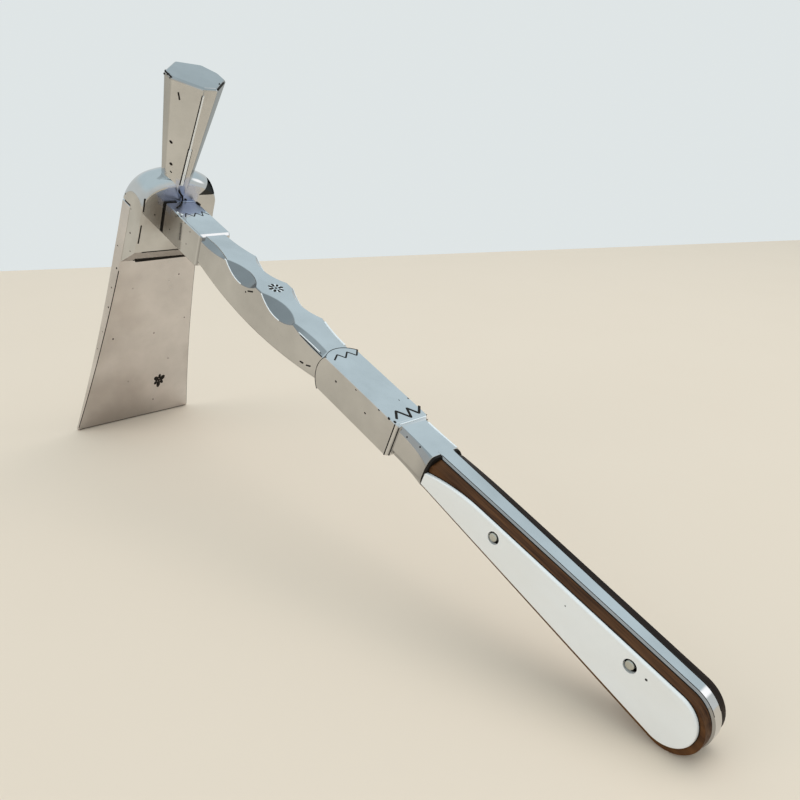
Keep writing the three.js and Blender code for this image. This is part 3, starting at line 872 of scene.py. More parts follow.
def dome_ring(x):
    """The bolster's section where the dome still cuts its corners."""
    radius = math.sqrt(DOME ** 2 - (DOME_MIDDLE - x) ** 2)
    low = math.acos(min(1, BOLSTER_WIDTH / 2 / radius))
    high = math.asin(min(1, BOLSTER_HEIGHT / 2 / radius))
    quarter = spread(low, high, 7)
    turns = quarter + [math.pi - a for a in reversed(quarter)]
    turns += [math.pi + a for a in quarter] + [math.tau - a for a in reversed(quarter)]
    return [(x, radius * math.cos(a), BOLSTER_AXIS + radius * math.sin(a)) for a in turns]


def bolster_ring(x, drawn_in=0.0):
    half, rise = BOLSTER_WIDTH / 2 - drawn_in, BOLSTER_HEIGHT / 2 - drawn_in
    return bar_ring(x, half, BOLSTER_AXIS + rise, BOLSTER_AXIS - rise, BOLSTER_FACET, BOLSTER_FACET)


corner_reach = math.hypot(BOLSTER_WIDTH / 2, BOLSTER_HEIGHT / 2) - DOME_SHORT
dome_turns = spread(DOME_START, math.asin(corner_reach / DOME), 28)
dome_places = [DOME_MIDDLE - DOME * math.cos(a) for a in dome_turns]
half_bevel = BOLSTER_BEVEL / 2
bolster_bevel = ((BOLSTER_BEVEL + 0.1, 0.0), (BOLSTER_BEVEL - 0.1, 0.04), (0.1, half_bevel - 0.04),
                 (0.0, half_bevel + 0.05))
bolster_rings = [
    *(dome_ring(x) for x in dome_places),
    bolster_ring(dome_places[-1] + AFTER_DOME),
    *(bolster_ring(BOLSTER_END - back, drawn_in) for back, drawn_in in bolster_bevel),
]
print(f"bolster from {SHANK_END:.1f} to {BOLSTER_END:.1f} mm, {len(bolster_rings)} rings")

# %% [markdown]
# The shoulder of the neck is as wide as the grip behind it, so the grip's layers come first. The tang
# gets thinner towards the butt, and a brown liner and a white plate lie on each side of it.

# %% Layers of the grip, and the neck in front of them
NECK_LENGTH = 13.1
GRIP_START = BOLSTER_END + NECK_LENGTH
GRIP_LENGTH = 87.6
TANG_FRONT_THICK = 5.3
TANG_BUTT_THICK = 3.5
LINER_THICK = 2.6
PLATE_THICK = 0.9
NECK_WAIST = (10.2, 9.4)
NECK_AXIS = 0.35
NECK_FACET = (0.7, 1.6)
NECK_FLARE = 2.4
NECK_FILLET = ((0.001, 0.25), (0.02, 0.08))
NECK_END = ((0.992, 0.0), (1.0, -0.12))
SHOULDER_FACET = (1.1, 2.9)
FAR_SHOULDER_FACET = (2.4, 2.9)
SHOULDER_WORN = 1.2
FRONT_HEIGHT = 10.2
FRONT_AXIS = 0.4


def tang_half(x):
    return mix((x - GRIP_START) / GRIP_LENGTH, TANG_FRONT_THICK, TANG_BUTT_THICK) / 2


def liner_face(x):
    return tang_half(x) + GAP + LINER_THICK


def plate_face(x):
    return liner_face(x) + GAP + PLATE_THICK


def neck_ring(t, larger=0.0):
    """Section of the neck, from the waist at t = 0 to the shoulder at t = 1."""
    flare = max(t, 0) ** NECK_FLARE
    half = mix(flare, NECK_WAIST[0] / 2, plate_face(GRIP_START)) + larger
    rise = mix(flare, NECK_WAIST[1], FRONT_HEIGHT) / 2 + larger
    axis = mix(flare, NECK_AXIS, FRONT_AXIS)
    near = [mix(flare, a, b) for a, b in zip(NECK_FACET, SHOULDER_FACET)]
    far = [mix(flare, a, b) for a, b in zip(NECK_FACET, FAR_SHOULDER_FACET)]
    worn = mix(flare, WORN, SHOULDER_WORN)
    return bar_ring(BOLSTER_END + t * NECK_LENGTH, half, axis + rise, axis - rise, near, near, far, worn)


bolster = lofted("bolster_stretch", [
    *bolster_rings,
    *(neck_ring(t, larger) for t, larger in NECK_FILLET),
    *(neck_ring(t) for t in steps(30)[1:-1]),
    *(neck_ring(t, larger) for t, larger in NECK_END),
])
print(f"neck to {GRIP_START:.1f} mm, {2 * plate_face(GRIP_START):.1f} mm wide at the shoulder")

# %% [markdown]
# ## The grip's layers
# The tang, the brown liners and the white plates share one outline: straight along the top and bottom,
# round at the butt. Each layer is a stack of that outline, drawn in a little from ring to ring. So one
# function draws the outline, and a layer only says how far it is drawn in and how far out it lies.

# %% The grip's outline and layers
BUTT_RADIUS = 8.4
BUTT_AXIS = -2.15
BUTT_MIDDLE = GRIP_START + GRIP_LENGTH - BUTT_RADIUS
SWEEP_LENGTH = 18.0


def grip_outline(start, neck, butt, low=None, butt_low=None, back=0.0, sweep=0.0, nose=0.0):
    """Side view. The upper line is drawn in by neck and butt, the lower one by low and butt_low."""
    low = neck if low is None else low
    butt_low = butt if butt_low is None else butt_low
    top = FRONT_AXIS + FRONT_HEIGHT / 2 - neck
    bottom = FRONT_AXIS - FRONT_HEIGHT / 2 + low
    radius = BUTT_RADIUS - (butt + butt_low) / 2
    axis = BUTT_AXIS + (butt_low - butt) / 2
    end = BUTT_MIDDLE - back
    outline = []
    for t in steps(24):
        ahead = t * t * SWEEP_LENGTH
        level = mix(ahead / (end - start), top, axis + radius) - sweep * (1 - t * t) ** 2
        short = max(nose - ahead, 0)
        outline.append((start + ahead, level - nose + math.sqrt(nose ** 2 - short ** 2)))
    for a in spread(math.pi / 2, -math.pi / 2, 72):
        outline.append((end + radius * math.cos(a), axis + radius * math.sin(a)))
    outline.append((start, bottom))
    return outline


def grip_layer(name, start, rings, side=1):
    """A layer from rings of (outline settings, how far out it lies at x)."""
    return lofted(name, [
        [(x, side * reach(x), z) for x, z in grip_outline(start, **outline)] for outline, reach in rings])


print("grip's outline:", len(grip_outline(GRIP_START, neck=0.0, butt=0.0)), "points")

# %% [markdown]
# The tang shows as a bright line between the scales, with a narrow bevel at each side of its level crest.
# It is the last stretch of the bar. The four stretches are now united.

# %% Tang, and the whole bar
TANG_BEVEL = 0.6
TANG_BEVEL_ACROSS = 0.35
CREST_BELOW = 0.01


def tang_edge(side, crest):
    """One ring of the tang on a side: the edge of its level crest, or the foot of the bevel beside it."""
    drawn_in = CREST_BELOW if crest else TANG_BEVEL
    inward = TANG_BEVEL_ACROSS if crest else 0.0
    return {"neck": drawn_in, "butt": drawn_in}, lambda x: side * (tang_half(x) - inward)


tang_rings = [tang_edge(-1, False), tang_edge(-1, True), tang_edge(1, True), tang_edge(1, False)]
tang = grip_layer("tang_stretch", GRIP_START - 1, tang_rings)
for stretch in (shank_piece, bolster, tang):
    boolean(bar, stretch, "UNION")
finish_piece(bar, BAR_STEEL, ["bar"], sharp=22)

# %% [markdown]
# ## The blade
# The adze blade is a plate that laps behind the hub, keeps its thickness there and thins to the edge. Its
# sides bow in a little. Seen from above each section is a rectangle, so the blade is lofted upwards from
# the edge. Its top is an arch: there the sections grow narrower, faster and faster, so the stations crowd
# towards the top. A square eye is cut for the tenon.

# %% Blade
BLADE_DROP = 98.8
EDGE_WIDTH = 49.0
EDGE_THICK = 1.2
KEEN_EDGE = ((0.0, 0.35), (0.15, 0.12))
SHOULDER_WIDTH = 28.0
FLARE = 1.4
HUB_FOOT = 20.7
CROWN_AXIS = -10.0
ARCH = 17.4
ARCH_LEVEL = CROWN_AXIS + math.sqrt(ARCH ** 2 - (SHOULDER_WIDTH / 2) ** 2)
BLADE_WORN = 0.3
NARROWEST = 0.02
EYE = TENON / 2 + 0.12
EYE_REACH = (-20, 1)


def side_half(z):
    """Half the width of hub and blade at a level: a shallow bow from the shoulder to the edge."""
    t = min(max(-z / BLADE_DROP, 0), 1)
    bow = (SHOULDER_WIDTH + EDGE_WIDTH) / 4 - 2 * FLARE
    return (1 - t) ** 2 * SHOULDER_WIDTH / 2 + 2 * t * (1 - t) * bow + t * t * EDGE_WIDTH / 2


def blade_ring(z, half, drawn_in=0.0):
    middle = (BLADE_FRONT + BLADE_BACK) / 2
    t = max((-HUB_FOOT - z) / (BLADE_DROP - HUB_FOOT), 0)
    thick = mix(t, BLADE_THICK, EDGE_THICK) / 2 - drawn_in
    wide = max(half - drawn_in, NARROWEST)
    front, back = middle + thick, middle - thick
    corners = [(front, -wide), (front, wide), (back, wide), (back, -wide)]
    return [(p.x, p.y, z) for p in softened(corners, min(BLADE_WORN, wide))]


blade_stations = spread(-BLADE_DROP + 0.5, -HUB_FOOT, 40) + spread(-HUB_FOOT, ARCH_LEVEL, 12)[1:]
arch_start = math.asin((ARCH_LEVEL - CROWN_AXIS) / ARCH)
blade = lofted("satin_blade", [
    *(blade_ring(-BLADE_DROP + above, EDGE_WIDTH / 2, drawn_in) for above, drawn_in in KEEN_EDGE),
    *(blade_ring(z, side_half(z)) for z in blade_stations),
    *(blade_ring(CROWN_AXIS + ARCH * math.sin(a), ARCH * math.cos(a))
      for a in spread(arch_start, math.pi / 2, 24)[1:]),
])
eye_square = ((-EYE, -EYE), (EYE, -EYE), (EYE, EYE), (-EYE, EYE))
boolean(blade, lofted("eye_cut", [[(x, y, z) for y, z in eye_square] for x in EYE_REACH]), "DIFFERENCE")
finish_piece(blade, SATIN, ["blade"], sharp=25)

# %% [markdown]
# ## The crowned head
# Hub and poll are forged in one. From the front the hub has nearly upright sides and an arched top, and
# that arch is turned, like a barrel, so that it rises to a crest and falls again to the back. The hub is
# lofted from front to back, ring by ring along that barrel. Its left shoulder is worn rounder than the
# right one.

# %% The crown
CREST = 25.2
CREST_BACK = 5.75
FRONT_FALL = 3.6
REAR_FALL = 6.2
SHOULDER_ROUNDS = {"left": 8.5, "right": 4.5}
HUB_DEPTH = -BLADE_BACK


def crown_radius(back):
    """Radius of the barrel at a depth behind the front face: one arc to each side of the crest."""
    reach, fall = (CREST_BACK, FRONT_FALL) if back < CREST_BACK else (HUB_DEPTH - CREST_BACK, REAR_FALL)
    arc = (reach ** 2 + fall ** 2) / (2 * fall)
    return CREST - arc + math.sqrt(arc ** 2 - (back - CREST_BACK) ** 2)


def crown_side(side, back, drawn_in, down_to=None):
    """From the middle of the crown outwards and round one shoulder, down to a level."""
    radius = crown_radius(back)
    shoulder = SHOULDER_ROUNDS[side]
    inward = SHOULDER_WIDTH / 2 - shoulder
    rise = math.sqrt((radius - shoulder) ** 2 - inward ** 2)
    turn = math.atan2(inward, rise)
    top = radius - drawn_in
    points = [(top * math.sin(a), CROWN_AXIS + top * math.cos(a)) for a in spread(0, turn, 24)]
    out = shoulder - drawn_in
    last = math.pi / 2 if down_to is None else math.acos(max(down_to - CROWN_AXIS - rise, 0) / out)
    for a in spread(turn, last, 14)[1:]:
        points.append((inward + out * math.sin(a), CROWN_AXIS + rise + out * math.cos(a)))
    return points


print(f"crown: {crown_radius(0):.1f} mm at the front, {crown_radius(HUB_DEPTH):.1f} mm at the back")

# %% [markdown]
# Behind its full depth only a lip of the crown goes on, over the blade's arched top. It is a second loft
# of rings between the crown and a smaller arch, and the two are united.

# %% Hub and lip
LIP_INSIDE = 17.7
LIP_END = 0.42
LIP_ROUNDING = ((0.08, 0.08), (0.0, 0.25))
HUB_ROUNDING = ((0.0, 0.3), (0.05, 0.12), (0.2, 0.0))


def hub_ring(back, drawn_in=0.0):
    """Front view of the hub at a depth, over its crown, down its sides and along its bevelled foot."""
    foot = -HUB_FOOT + HUB_FRONT_DEPTH - min(back, HUB_FRONT_DEPTH) + drawn_in
    halves = {}
    for side in SHOULDER_ROUNDS:
        half = crown_side(side, back, drawn_in)
        down = spread(half[-1][1], foot, 20)[1:]
        halves[side] = half + [(side_half(z) - drawn_in, z) for z in down]
    outline = halves["right"] + [(-y, z) for y, z in halves["left"][:0:-1]]
    return [(-back, y, z) for y, z in outline]


def lip_ring(back, drawn_in=0.0):
    """The lip behind the hub's full depth, between the crown and the blade's arched top."""
    turn = math.asin((SHOULDER_WIDTH / 2 - drawn_in - LIP_END) / LIP_INSIDE)
    lip_foot = CROWN_AXIS + LIP_INSIDE * math.cos(turn) - 0.1
    right, left = (crown_side(side, back, drawn_in, lip_foot) for side in ("right", "left"))
    right.append((right[-1][0], lip_foot))
    left.append((left[-1][0], lip_foot))
    inner = [(LIP_INSIDE * math.sin(a), CROWN_AXIS + LIP_INSIDE * math.cos(a)) for a in spread(turn, 0, 24)]
    arch = inner + [(-y, z) for y, z in inner[-2::-1]]
    return [(-back, y, z) for y, z in right + arch + [(-y, z) for y, z in left[:0:-1]]]


head = lofted("polished_head", [
    *(hub_ring(back, drawn_in) for back, drawn_in in HUB_ROUNDING),
    *(hub_ring(back) for back in spread(0.5, HUB_FRONT_DEPTH, 36)),
])
lip = lofted("crown_lip", [
    *(lip_ring(back) for back in spread(HUB_FRONT_DEPTH - 1, HUB_DEPTH - 0.25, 30)),
    *(lip_ring(HUB_DEPTH - ahead, drawn_in) for ahead, drawn_in in LIP_ROUNDING),
])
boolean(head, lip, "UNION")
print("hub and lip:", len(head.data.polygons), "faces")

# %% [markdown]
# The octagonal poll leans a little and widens to its striking face. It is lofted upwards, with a small
# flare at its foot and a rounded rim, and joined to the hub. Its far back corner is fuller than the
# others.

# %% Poll
POLL_BASE_ACROSS = 9.2
POLL_FACE_ACROSS = 17.1
POLL_RIM = 0.8
POLL_ROOT = 5.0
POLL_NARROW = 0.28
POLL_FULL = (0.095, 0.245)
POLL_WORN = 0.5
POLL_FOOT_WORN = 1.0
FLARE_TOP = 4.6
POLL_FLARE = 0.5
RIM_ROUNDING = ((0.62, 0.2), (0.15, 0.85), (0.0, 1.3))
lean = Matrix.Translation((-POLL_BACK, 0, POLL_FOOT)) @ Matrix.Rotation(POLL_LEAN, 4, "Y")


def poll_ring(height, across, worn=POLL_WORN):
    """Square with its corners cut off, which look to the front, the back and the sides."""
    near = POLL_NARROW * across / 2
    far = across / ROOT_TWO - near
    corners = [(far, -near), (far, near), (near, far), (-near, far)]
    corners += [(-x, -y) for x, y in corners]
    corners[4] = (POLL_FULL[0] * across - far, near + POLL_FULL[1] * across)
    return [lean @ Vector((p.x, p.y, height)) for p in softened(corners, worn)]


def poll_across(height):
    return mix(height / (POLL_LENGTH - POLL_RIM), POLL_BASE_ACROSS, POLL_FACE_ACROSS)


def poll_stage(height):
    """A ring of the poll: wider at the foot, and with softer ridges there."""
    flare = POLL_FLARE * (max(FLARE_TOP - max(height, 0), 0) / FLARE_TOP) ** 2.5
    worn = mix(height / POLL_LENGTH, POLL_FOOT_WORN, POLL_WORN)
    return poll_ring(height, poll_across(height) + flare, worn)


def rim_ring(below, drawn_in):
    """A ring near the striking face, so many rims below it."""
    return poll_ring(POLL_LENGTH - below * POLL_RIM, POLL_FACE_ACROSS - drawn_in)


poll = lofted("poll_stretch", [
    *(poll_stage(height) for height in spread(-POLL_ROOT, POLL_LENGTH - POLL_RIM, 60)),
    *(rim_ring(below, drawn_in) for below, drawn_in in RIM_ROUNDING),
])
boolean(head, poll, "UNION")
finish_piece(head, HEAD_STEEL, ["head"], sharp=22)

# %% [markdown]
# ## Brown and white layers
# The brown layer has a fine grain along the grip, which is a noise stretched along X. The far one is
# painted much darker, as painted shade, because it lies in the shade. The white layer is like bone: almost
# plain, with faint clouds and a few small specks.

# %% Materials of the scales
BROWNS = ((0.026, 0.010, 0.0045), (0.112, 0.047, 0.016), (0.135, 0.058, 0.020))
GRAIN_STRETCH = (45, 900, 500)
BROWN_PATCH_STRETCH = (30, 60, 60)
WHITES = ((0.77, 0.77, 0.755), (0.745, 0.735, 0.705))
WHITE_CLOUD_STRETCH = (40, 90, 90)
SPECK_CELLS = {"scale": 210.0, "size": 0.05, "channel": 1, "above": 0.9}
SPECK = (0.3, 0.25, 0.2)


def brown_layer(name, depth):
    s = Shader(name)
    grain = s.noise(s.stretched(*GRAIN_STRETCH), 1, detail=5, roughness=0.65)
    patches = s.noise(s.stretched(*BROWN_PATCH_STRETCH), 1, detail=2)
    dark, light, patch = (tuple(c * depth for c in colour) for colour in BROWNS)
    streaks = s.blend(s.ramp(grain, 0, 1, 0.35, 0.68), dark, light)
    s.set(Base_Color=s.blend(s.ramp(patches, 0, 0.55, 0.4, 0.7), streaks, patch))
    s.set(Roughness=s.ramp(grain, 0.6, 0.45, 0.3, 0.7), Specular_IOR_Level=0.12)
    s.bump(grain, strength=0.25, distance=0.0002)
    return s.material


def white_layer():
    s = Shader("white_layer")
    cloud = s.noise(s.stretched(*WHITE_CLOUD_STRETCH), 1, detail=3)
    clean = s.blend(s.ramp(cloud, 0, 1, 0.35, 0.7), *WHITES)
    s.set(Base_Color=s.blend(s.dots(**SPECK_CELLS), clean, SPECK))
    s.set(Roughness=s.ramp(cloud, 0.3, 0.42, 0.3, 0.7))
    s.bump(s.noise(s.place, 400, detail=3), strength=0.04, distance=0.0003)
    return s.material


# The far liner is the same brown painted much darker, as painted shade.
BROWN = {"left": brown_layer("brown_layer", 1.0), "right": brown_layer("dark_brown_layer", 0.16)}
WHITE = white_layer()
print("layers:", BROWN["left"].name, BROWN["right"].name, WHITE.name)

# %% [markdown]
# ## Brown liners and white plates
# Each scale has two layers. The brown one has a sloping edge that shows as a broad line along the grip,
# and the white one lies on it, smaller, with a rounded rim. Both are drilled for the pins, with a little
# room, so that a dark ring shows round each pin.

# %% Outlines of the layers
TANG_PROUD = 0.1
LAYER_FOOT = TANG_PROUD + TANG_BEVEL
LINER_FALL = 0.6
LINER_BUTT_FALL = 0.1
LINER_DROP = 0.6
LINER_LOW = 0.5
LINER_NOSE = 1.1
PLATE_LEDGE = 0.3
PLATE_LOW = 1.75
PLATE_DROP = 3.0
PLATE_BUTT_BACK = 0.75


def liner_rim(inset=0.0, fall=1.0):
    """Outline of the liner: fall is 0 at the tang and 1 on the outer face."""
    return {
        "neck": LAYER_FOOT + LINER_FALL * fall + inset,
        "butt": LAYER_FOOT + LINER_BUTT_FALL * fall + inset,
        "low": LINER_LOW + inset,
        "butt_low": TANG_PROUD + inset,
        "sweep": LINER_DROP * fall,
        "nose": LINER_NOSE,
    }


def plate_rim(inset=0.0):
    return {
        "neck": LAYER_FOOT + LINER_FALL + PLATE_LEDGE + inset,
        "butt": LAYER_FOOT + LINER_BUTT_FALL + PLATE_LEDGE + inset,
        "low": PLATE_LOW + inset,
        "butt_low": PLATE_LOW + inset,
        "back": PLATE_BUTT_BACK,
        "sweep": PLATE_DROP,
    }


print("a plate's outline is drawn in by", {key: round(reach, 2) for key, reach in plate_rim().items()})

# %% Liners and plates
SIDES = {"left": -1, "right": 1}
SCALE_JOINT = 0.65
SCALE_START = GRIP_START + SCALE_JOINT
PIN_RADIUS = 1.12
PIN_ROOM = 0.58
PIN_PLACES = ((25.5, 1.1), (67.0, 1.75))
DRILL_REACH = (-20, 20)
LINER_ROUNDING = ((0.0, -0.1), (0.05, 0.0), (0.2, 0.08))
PLATE_ROUND = 0.4
PLATE_SEAT = 0.2
PLATE_SINKS = {"left": 0.0, "right": 0.6}


def drilled(piece):
    for place, level in PIN_PLACES:
        hole = [(GRIP_START + place + x, level + z) for x, z in circle(PIN_RADIUS + PIN_ROOM, 48)]
        boolean(piece, lofted("drill", [[(x, y, z) for x, z in hole] for y in DRILL_REACH]), "DIFFERENCE")
    return piece


quarter_turns = spread(0, math.pi / 2, 8)
plate_edge = [(PLATE_ROUND * (1 - math.cos(a)), PLATE_ROUND * (1 - math.sin(a))) for a in quarter_turns]
for name, side in SIDES.items():
    liner = grip_layer(f"brown_liner_{name}", SCALE_START, [
        (liner_rim(fall=0.0), lambda x: tang_half(x) + GAP),
        *((liner_rim(inset), lambda x, proud=proud: liner_face(x) + proud)
          for inset, proud in LINER_ROUNDING),
    ], side)
    finish_piece(drilled(liner), BROWN[name], [f"liner_{name}"])
    sunk = PLATE_SINKS[name]
    plate = grip_layer(f"white_plate_{name}", SCALE_START, [
        (plate_rim(sunk), lambda x: liner_face(x) + PLATE_SEAT),
        *((plate_rim(inset + sunk), lambda x, drop=drop: plate_face(x) - drop)
          for inset, drop in plate_edge),
    ], side)
    finish_piece(drilled(plate), WHITE, [f"plate_{name}"])

# %% [markdown]
# ## Dark joints
# Where two pieces meet, years of dirt and old solder show as a black line. A hairline gap alone would
# catch light, so each joint is filled with a thin dark bed, set back a little from the surface.

# %% Dark material
DIRT_AND_SHADE_COLOURS = ((0.006, 0.005, 0.004), (0.022, 0.017, 0.013))


def dark_bed_and_shade():
    s = Shader("dark_joint")
    dirt = s.noise(s.place, 900, detail=3)
    s.set(Base_Color=s.blend(dirt, *DIRT_AND_SHADE_COLOURS), Roughness=s.ramp(dirt, 0.5, 0.8))
    s.set(Specular_IOR_Level=0.14)
    return s.material


# This dark finish also draws the painted shade beside the poll's ridge and at its foot.
DARK = dark_bed_and_shade()
print("joints:", DARK.name)

# %% Beds at the head and the shoulder
BED_BACK = 0.06
BED_DEEP = 0.3
BED_PROUD = 0.05
FOOT_BED_HALF = 10.5
FOOT_SEAM = 0.3
FOOT_BED_UP = 2
ARCH_BED = (LIP_INSIDE + 0.5, ARCH - 0.1)
ARCH_BED_SIDE = SHOULDER_WIDTH / 2 - 0.12
ARCH_BED_REACH = (HUB_FRONT_DEPTH + 0.1, HUB_DEPTH - 1.5)

block_bed = lofted("joint_bed_block", [block_ring(x, BED_BACK) for x in (0.0, BLOCK_JOINT + 0.2)])
finish_piece(block_bed, DARK)

foot_front = -HUB_FRONT_DEPTH + BED_DEEP
foot_back = BLADE_FRONT - BED_DEEP
foot_levels = (
    (BLADE_FRONT + BED_PROUD, -HUB_FOOT - FOOT_SEAM), (foot_front, -HUB_FOOT),
    (foot_front, -HUB_FOOT + FOOT_BED_UP))
foot_bed = lofted("joint_bed_foot", [
    [(front, -FOOT_BED_HALF, z), (front, FOOT_BED_HALF, z),
     (foot_back, FOOT_BED_HALF, z), (foot_back, -FOOT_BED_HALF, z)] for front, z in foot_levels])
finish_piece(foot_bed, DARK)

arch_band = []
for radius, way in zip(ARCH_BED, (1, -1)):
    reach = way * math.asin(ARCH_BED_SIDE / radius)
    arch_band += [
        (radius * math.sin(a), CROWN_AXIS + radius * math.cos(a)) for a in spread(-reach, reach, 48)]
arch_bed = lofted("joint_bed_arch", [[(-back, y, z) for y, z in arch_band] for back in ARCH_BED_REACH])
finish_piece(arch_bed, DARK)

shoulder_section = [(y, z) for _, y, z in neck_ring(1.0, -0.1)]
shoulder_bed = lofted("joint_bed_shoulder", [
    [(x, y, z) for y, z in shoulder_section] for x in (GRIP_START - 0.2, SCALE_START + 0.1)])
finish_piece(shoulder_bed, DARK)

# %% Beds between the layers of the grip
for name, side in SIDES.items():
    scale_bed = grip_layer(f"joint_bed_{name}", SCALE_START, [
        (liner_rim(BED_BACK, fall=0.0), lambda x: tang_half(x) - 0.05),
        (liner_rim(BED_BACK, fall=0.0), lambda x: tang_half(x) + GAP + 0.1),
        (liner_rim(0.5), lambda x: liner_face(x) - 0.3),
        (plate_rim(0.1 + PLATE_SINKS["right"]), lambda x: liner_face(x) + 0.25),
    ], side)
    finish_piece(drilled(scale_bed), DARK)

# %% [markdown]
# ## Pins
# Two steel pins hold the scales. Their ends are filed flush and a little domed, and they sit a little off
# the middle of their holes. One end is turned as a lathe shape, and Geometry Nodes set it on the four
# points where a pin comes through a plate.

# %% One end of a pin
PIN_CROWN = 0.25
PIN_SHOULDER = 1.2
PIN_TOP = (0.5, 0.05)
PIN_DEEP = LINER_THICK + PLATE_THICK + GAP


def pin_end():
    """A pin's outer half with its crowned end at the origin, looking along Z."""
    profile = [(PIN_RADIUS, -PIN_DEEP), (PIN_RADIUS, -PIN_CROWN)]
    profile += [(PIN_RADIUS - PIN_CROWN * (1 - math.cos(a)), -PIN_CROWN * (1 - math.sin(a)))
                for a in spread(0, math.pi / 2, 4)[1:-1]]
    profile += [(PIN_RADIUS - PIN_CROWN * PIN_SHOULDER, 0.0), PIN_TOP]
    return lofted("pin_end", [[(x, y, z) for x, y in circle(radius, 40)] for radius, z in profile])


end_shape = pin_end()
print("pin's end:", len(end_shape.data.polygons), "faces")

# %% Pins on points
PIN_PROUD = 0.09
PIN_LOOSE = (-0.15, 0.08)
end_points = []
for place, level in PIN_PLACES:
    x = GRIP_START + place
    out = plate_face(x) + PIN_PROUD
    end_points += [(x + PIN_LOOSE[0], side * out, level + PIN_LOOSE[1]) for side in SIDES.values()]
pins = new_object("pins", end_points, [])
pin_tree = Tree("pins_on_points", Size=1.0)
sideways = pin_tree.parts(pin_tree.position())[1]
outwards = pin_tree.turned("Z", pin_tree.vector(0.0, sideways, 0.0))
pin_shape = pin_tree.node("GeometryNodeObjectInfo", Object=end_shape).outputs["Geometry"]
pin_ends = pin_tree.on_points(pin_tree.start.outputs[0], pin_shape, outwards, pin_tree.size("Size"))
pin_tree.make(pin_ends, pins, WORN_PIN)
bpy.data.objects.remove(end_shape)
finish_piece(pins, WORN_PIN, ["pin_front", "pin_rear"])

# %% [markdown]
# ## Punched ornament
# The smith marked the top of the bar with zigzag lines and stamped small flowers of dots. The marks are
# dark, because dirt stays in them. A texture could paint them, but a swept stroke keeps a crisp outline
# close up. A noise along the way makes the stroke thick and thin, as a graver does.

# %% Swept strokes
STROKE_STEP = 0.25
PRESS_SCALE = 0.55
END_TAPER = 12.0
THINNEST = 0.02
PROFILE_POINTS = 8


def stroke(tree, curve, flatness, contrast, nib=(0.0, 0.0, 0.0)):
    """Sweeps a line along a curve. It tapers to its ends, a noise presses it, and a nib slants it."""
    fine = tree.add("GeometryNodeResampleCurve", {"mode": "LENGTH"}, Curve=curve, Length=STROKE_STEP)
    noise = tree.node("ShaderNodeTexNoise", {"noise_dimensions": "3D"}, Scale=PRESS_SCALE, Detail=1.0)
    press = (tree.field(noise.outputs["Fac"]) - 0.5) * contrast + 1.0
    along = tree.field(tree.node("GeometryNodeSplineParameter").outputs["Factor"])
    taper = (along * along.flipped(1.0) * END_TAPER).low(1.0)
    tangent = tree.add("GeometryNodeInputTangent")
    slant = tree.node("ShaderNodeVectorMath", {"operation": "DOT_PRODUCT"}, Vector=tangent)
    slant.inputs[1].default_value = nib
    broad = tree.field(slant.outputs["Value"]).size() + 1.0
    weight = (press * taper * broad).high(THINNEST)
    weighted = tree.add("GeometryNodeSetCurveRadius", Curve=fine, Radius=weight)
    level_up = tree.add("GeometryNodeSetCurveNormal", {"mode": "Z_UP"}, Curve=weighted)
    profile = tree.add(
        "GeometryNodeCurvePrimitiveCircle", Resolution=PROFILE_POINTS, Radius=tree.size("Line") / 2.0)
    flat = tree.add("GeometryNodeTransform", Geometry=profile, Scale=(1.0, flatness, 1.0))
    return tree.add("GeometryNodeCurveToMesh", Curve=level_up, Profile_Curve=flat, Fill_Caps=True)


print(f"a stroke has {PROFILE_POINTS} points round it, every {STROKE_STEP} mm")

# %% [markdown]
# A zigzag is a straight line across the bar with a few points, pushed to and fro in turn. Each point is
# also a little off, at random, because the smith judged them by eye. The random value has a fixed seed,
# so the marks are the same in every run.

# %% Zigzag lines
MARK_SHARP = 60
MARK_FLAT = 0.16
NIB = (1.1, 0.8, 0.0)
UNSTEADY = 0.2
UNSTEADY_ACROSS = 2.4
BLOCK_TOP = BLOCK_HEIGHT / 2
BOLSTER_TOP = BOLSTER_AXIS + BOLSTER_HEIGHT / 2


def zigzag(name, **sizes):
    tree = Tree(name, **sizes)
    half = tree.size("Width") / 2.0
    start, end = (
        tree.vector(tree.size("Middle"), place + tree.size("Off_side"), tree.size("Level"))
        for place in (half.flipped(), half))
    straight = tree.add("GeometryNodeCurvePrimitiveLine", Start=start, End=end)
    spaced = tree.add("GeometryNodeResampleCurve", Curve=straight, Count=tree.size("Points"))
    index = tree.field(tree.add("GeometryNodeInputIndex"))
    unsteady = tree.random(-UNSTEADY, UNSTEADY)
    sway = ((index % 2.0).flipped(0.5) + unsteady) * tree.size("Depth")
    moved = tree.vector(sway, unsteady * UNSTEADY_ACROSS, 0.0)
    bent = tree.add("GeometryNodeSetPosition", Geometry=spaced, Offset=moved)
    mark = tree.make(stroke(tree, bent, MARK_FLAT, 3.0, NIB), blank(name), DARK)
    return finish_piece(mark, DARK, sharp=MARK_SHARP)


zigzag(
    "zigzag_block", Middle=9.5, Off_side=0.5, Level=BLOCK_TOP,
    Width=10.0, Points=7, Depth=2.4, Line=0.42, Seed=3)
zigzag(
    "zigzag_bolster_front", Middle=94.0, Off_side=0.75, Level=BOLSTER_TOP,
    Width=10.2, Points=6, Depth=2.5, Line=0.52, Seed=5)
zigzag(
    "zigzag_bolster_rear", Middle=121.7, Off_side=0.9, Level=BOLSTER_TOP,
    Width=9.8, Points=6, Depth=2.9, Line=0.8, Seed=8)

# %% [markdown]
# A flower is a ring of petals round a dot, all of them drops struck by the same punch. They are instances
# on a circle, turned outwards and uneven in size. A second flower under the one on the shank is the burr
# that the punch raised, made brighter by a painted highlight.

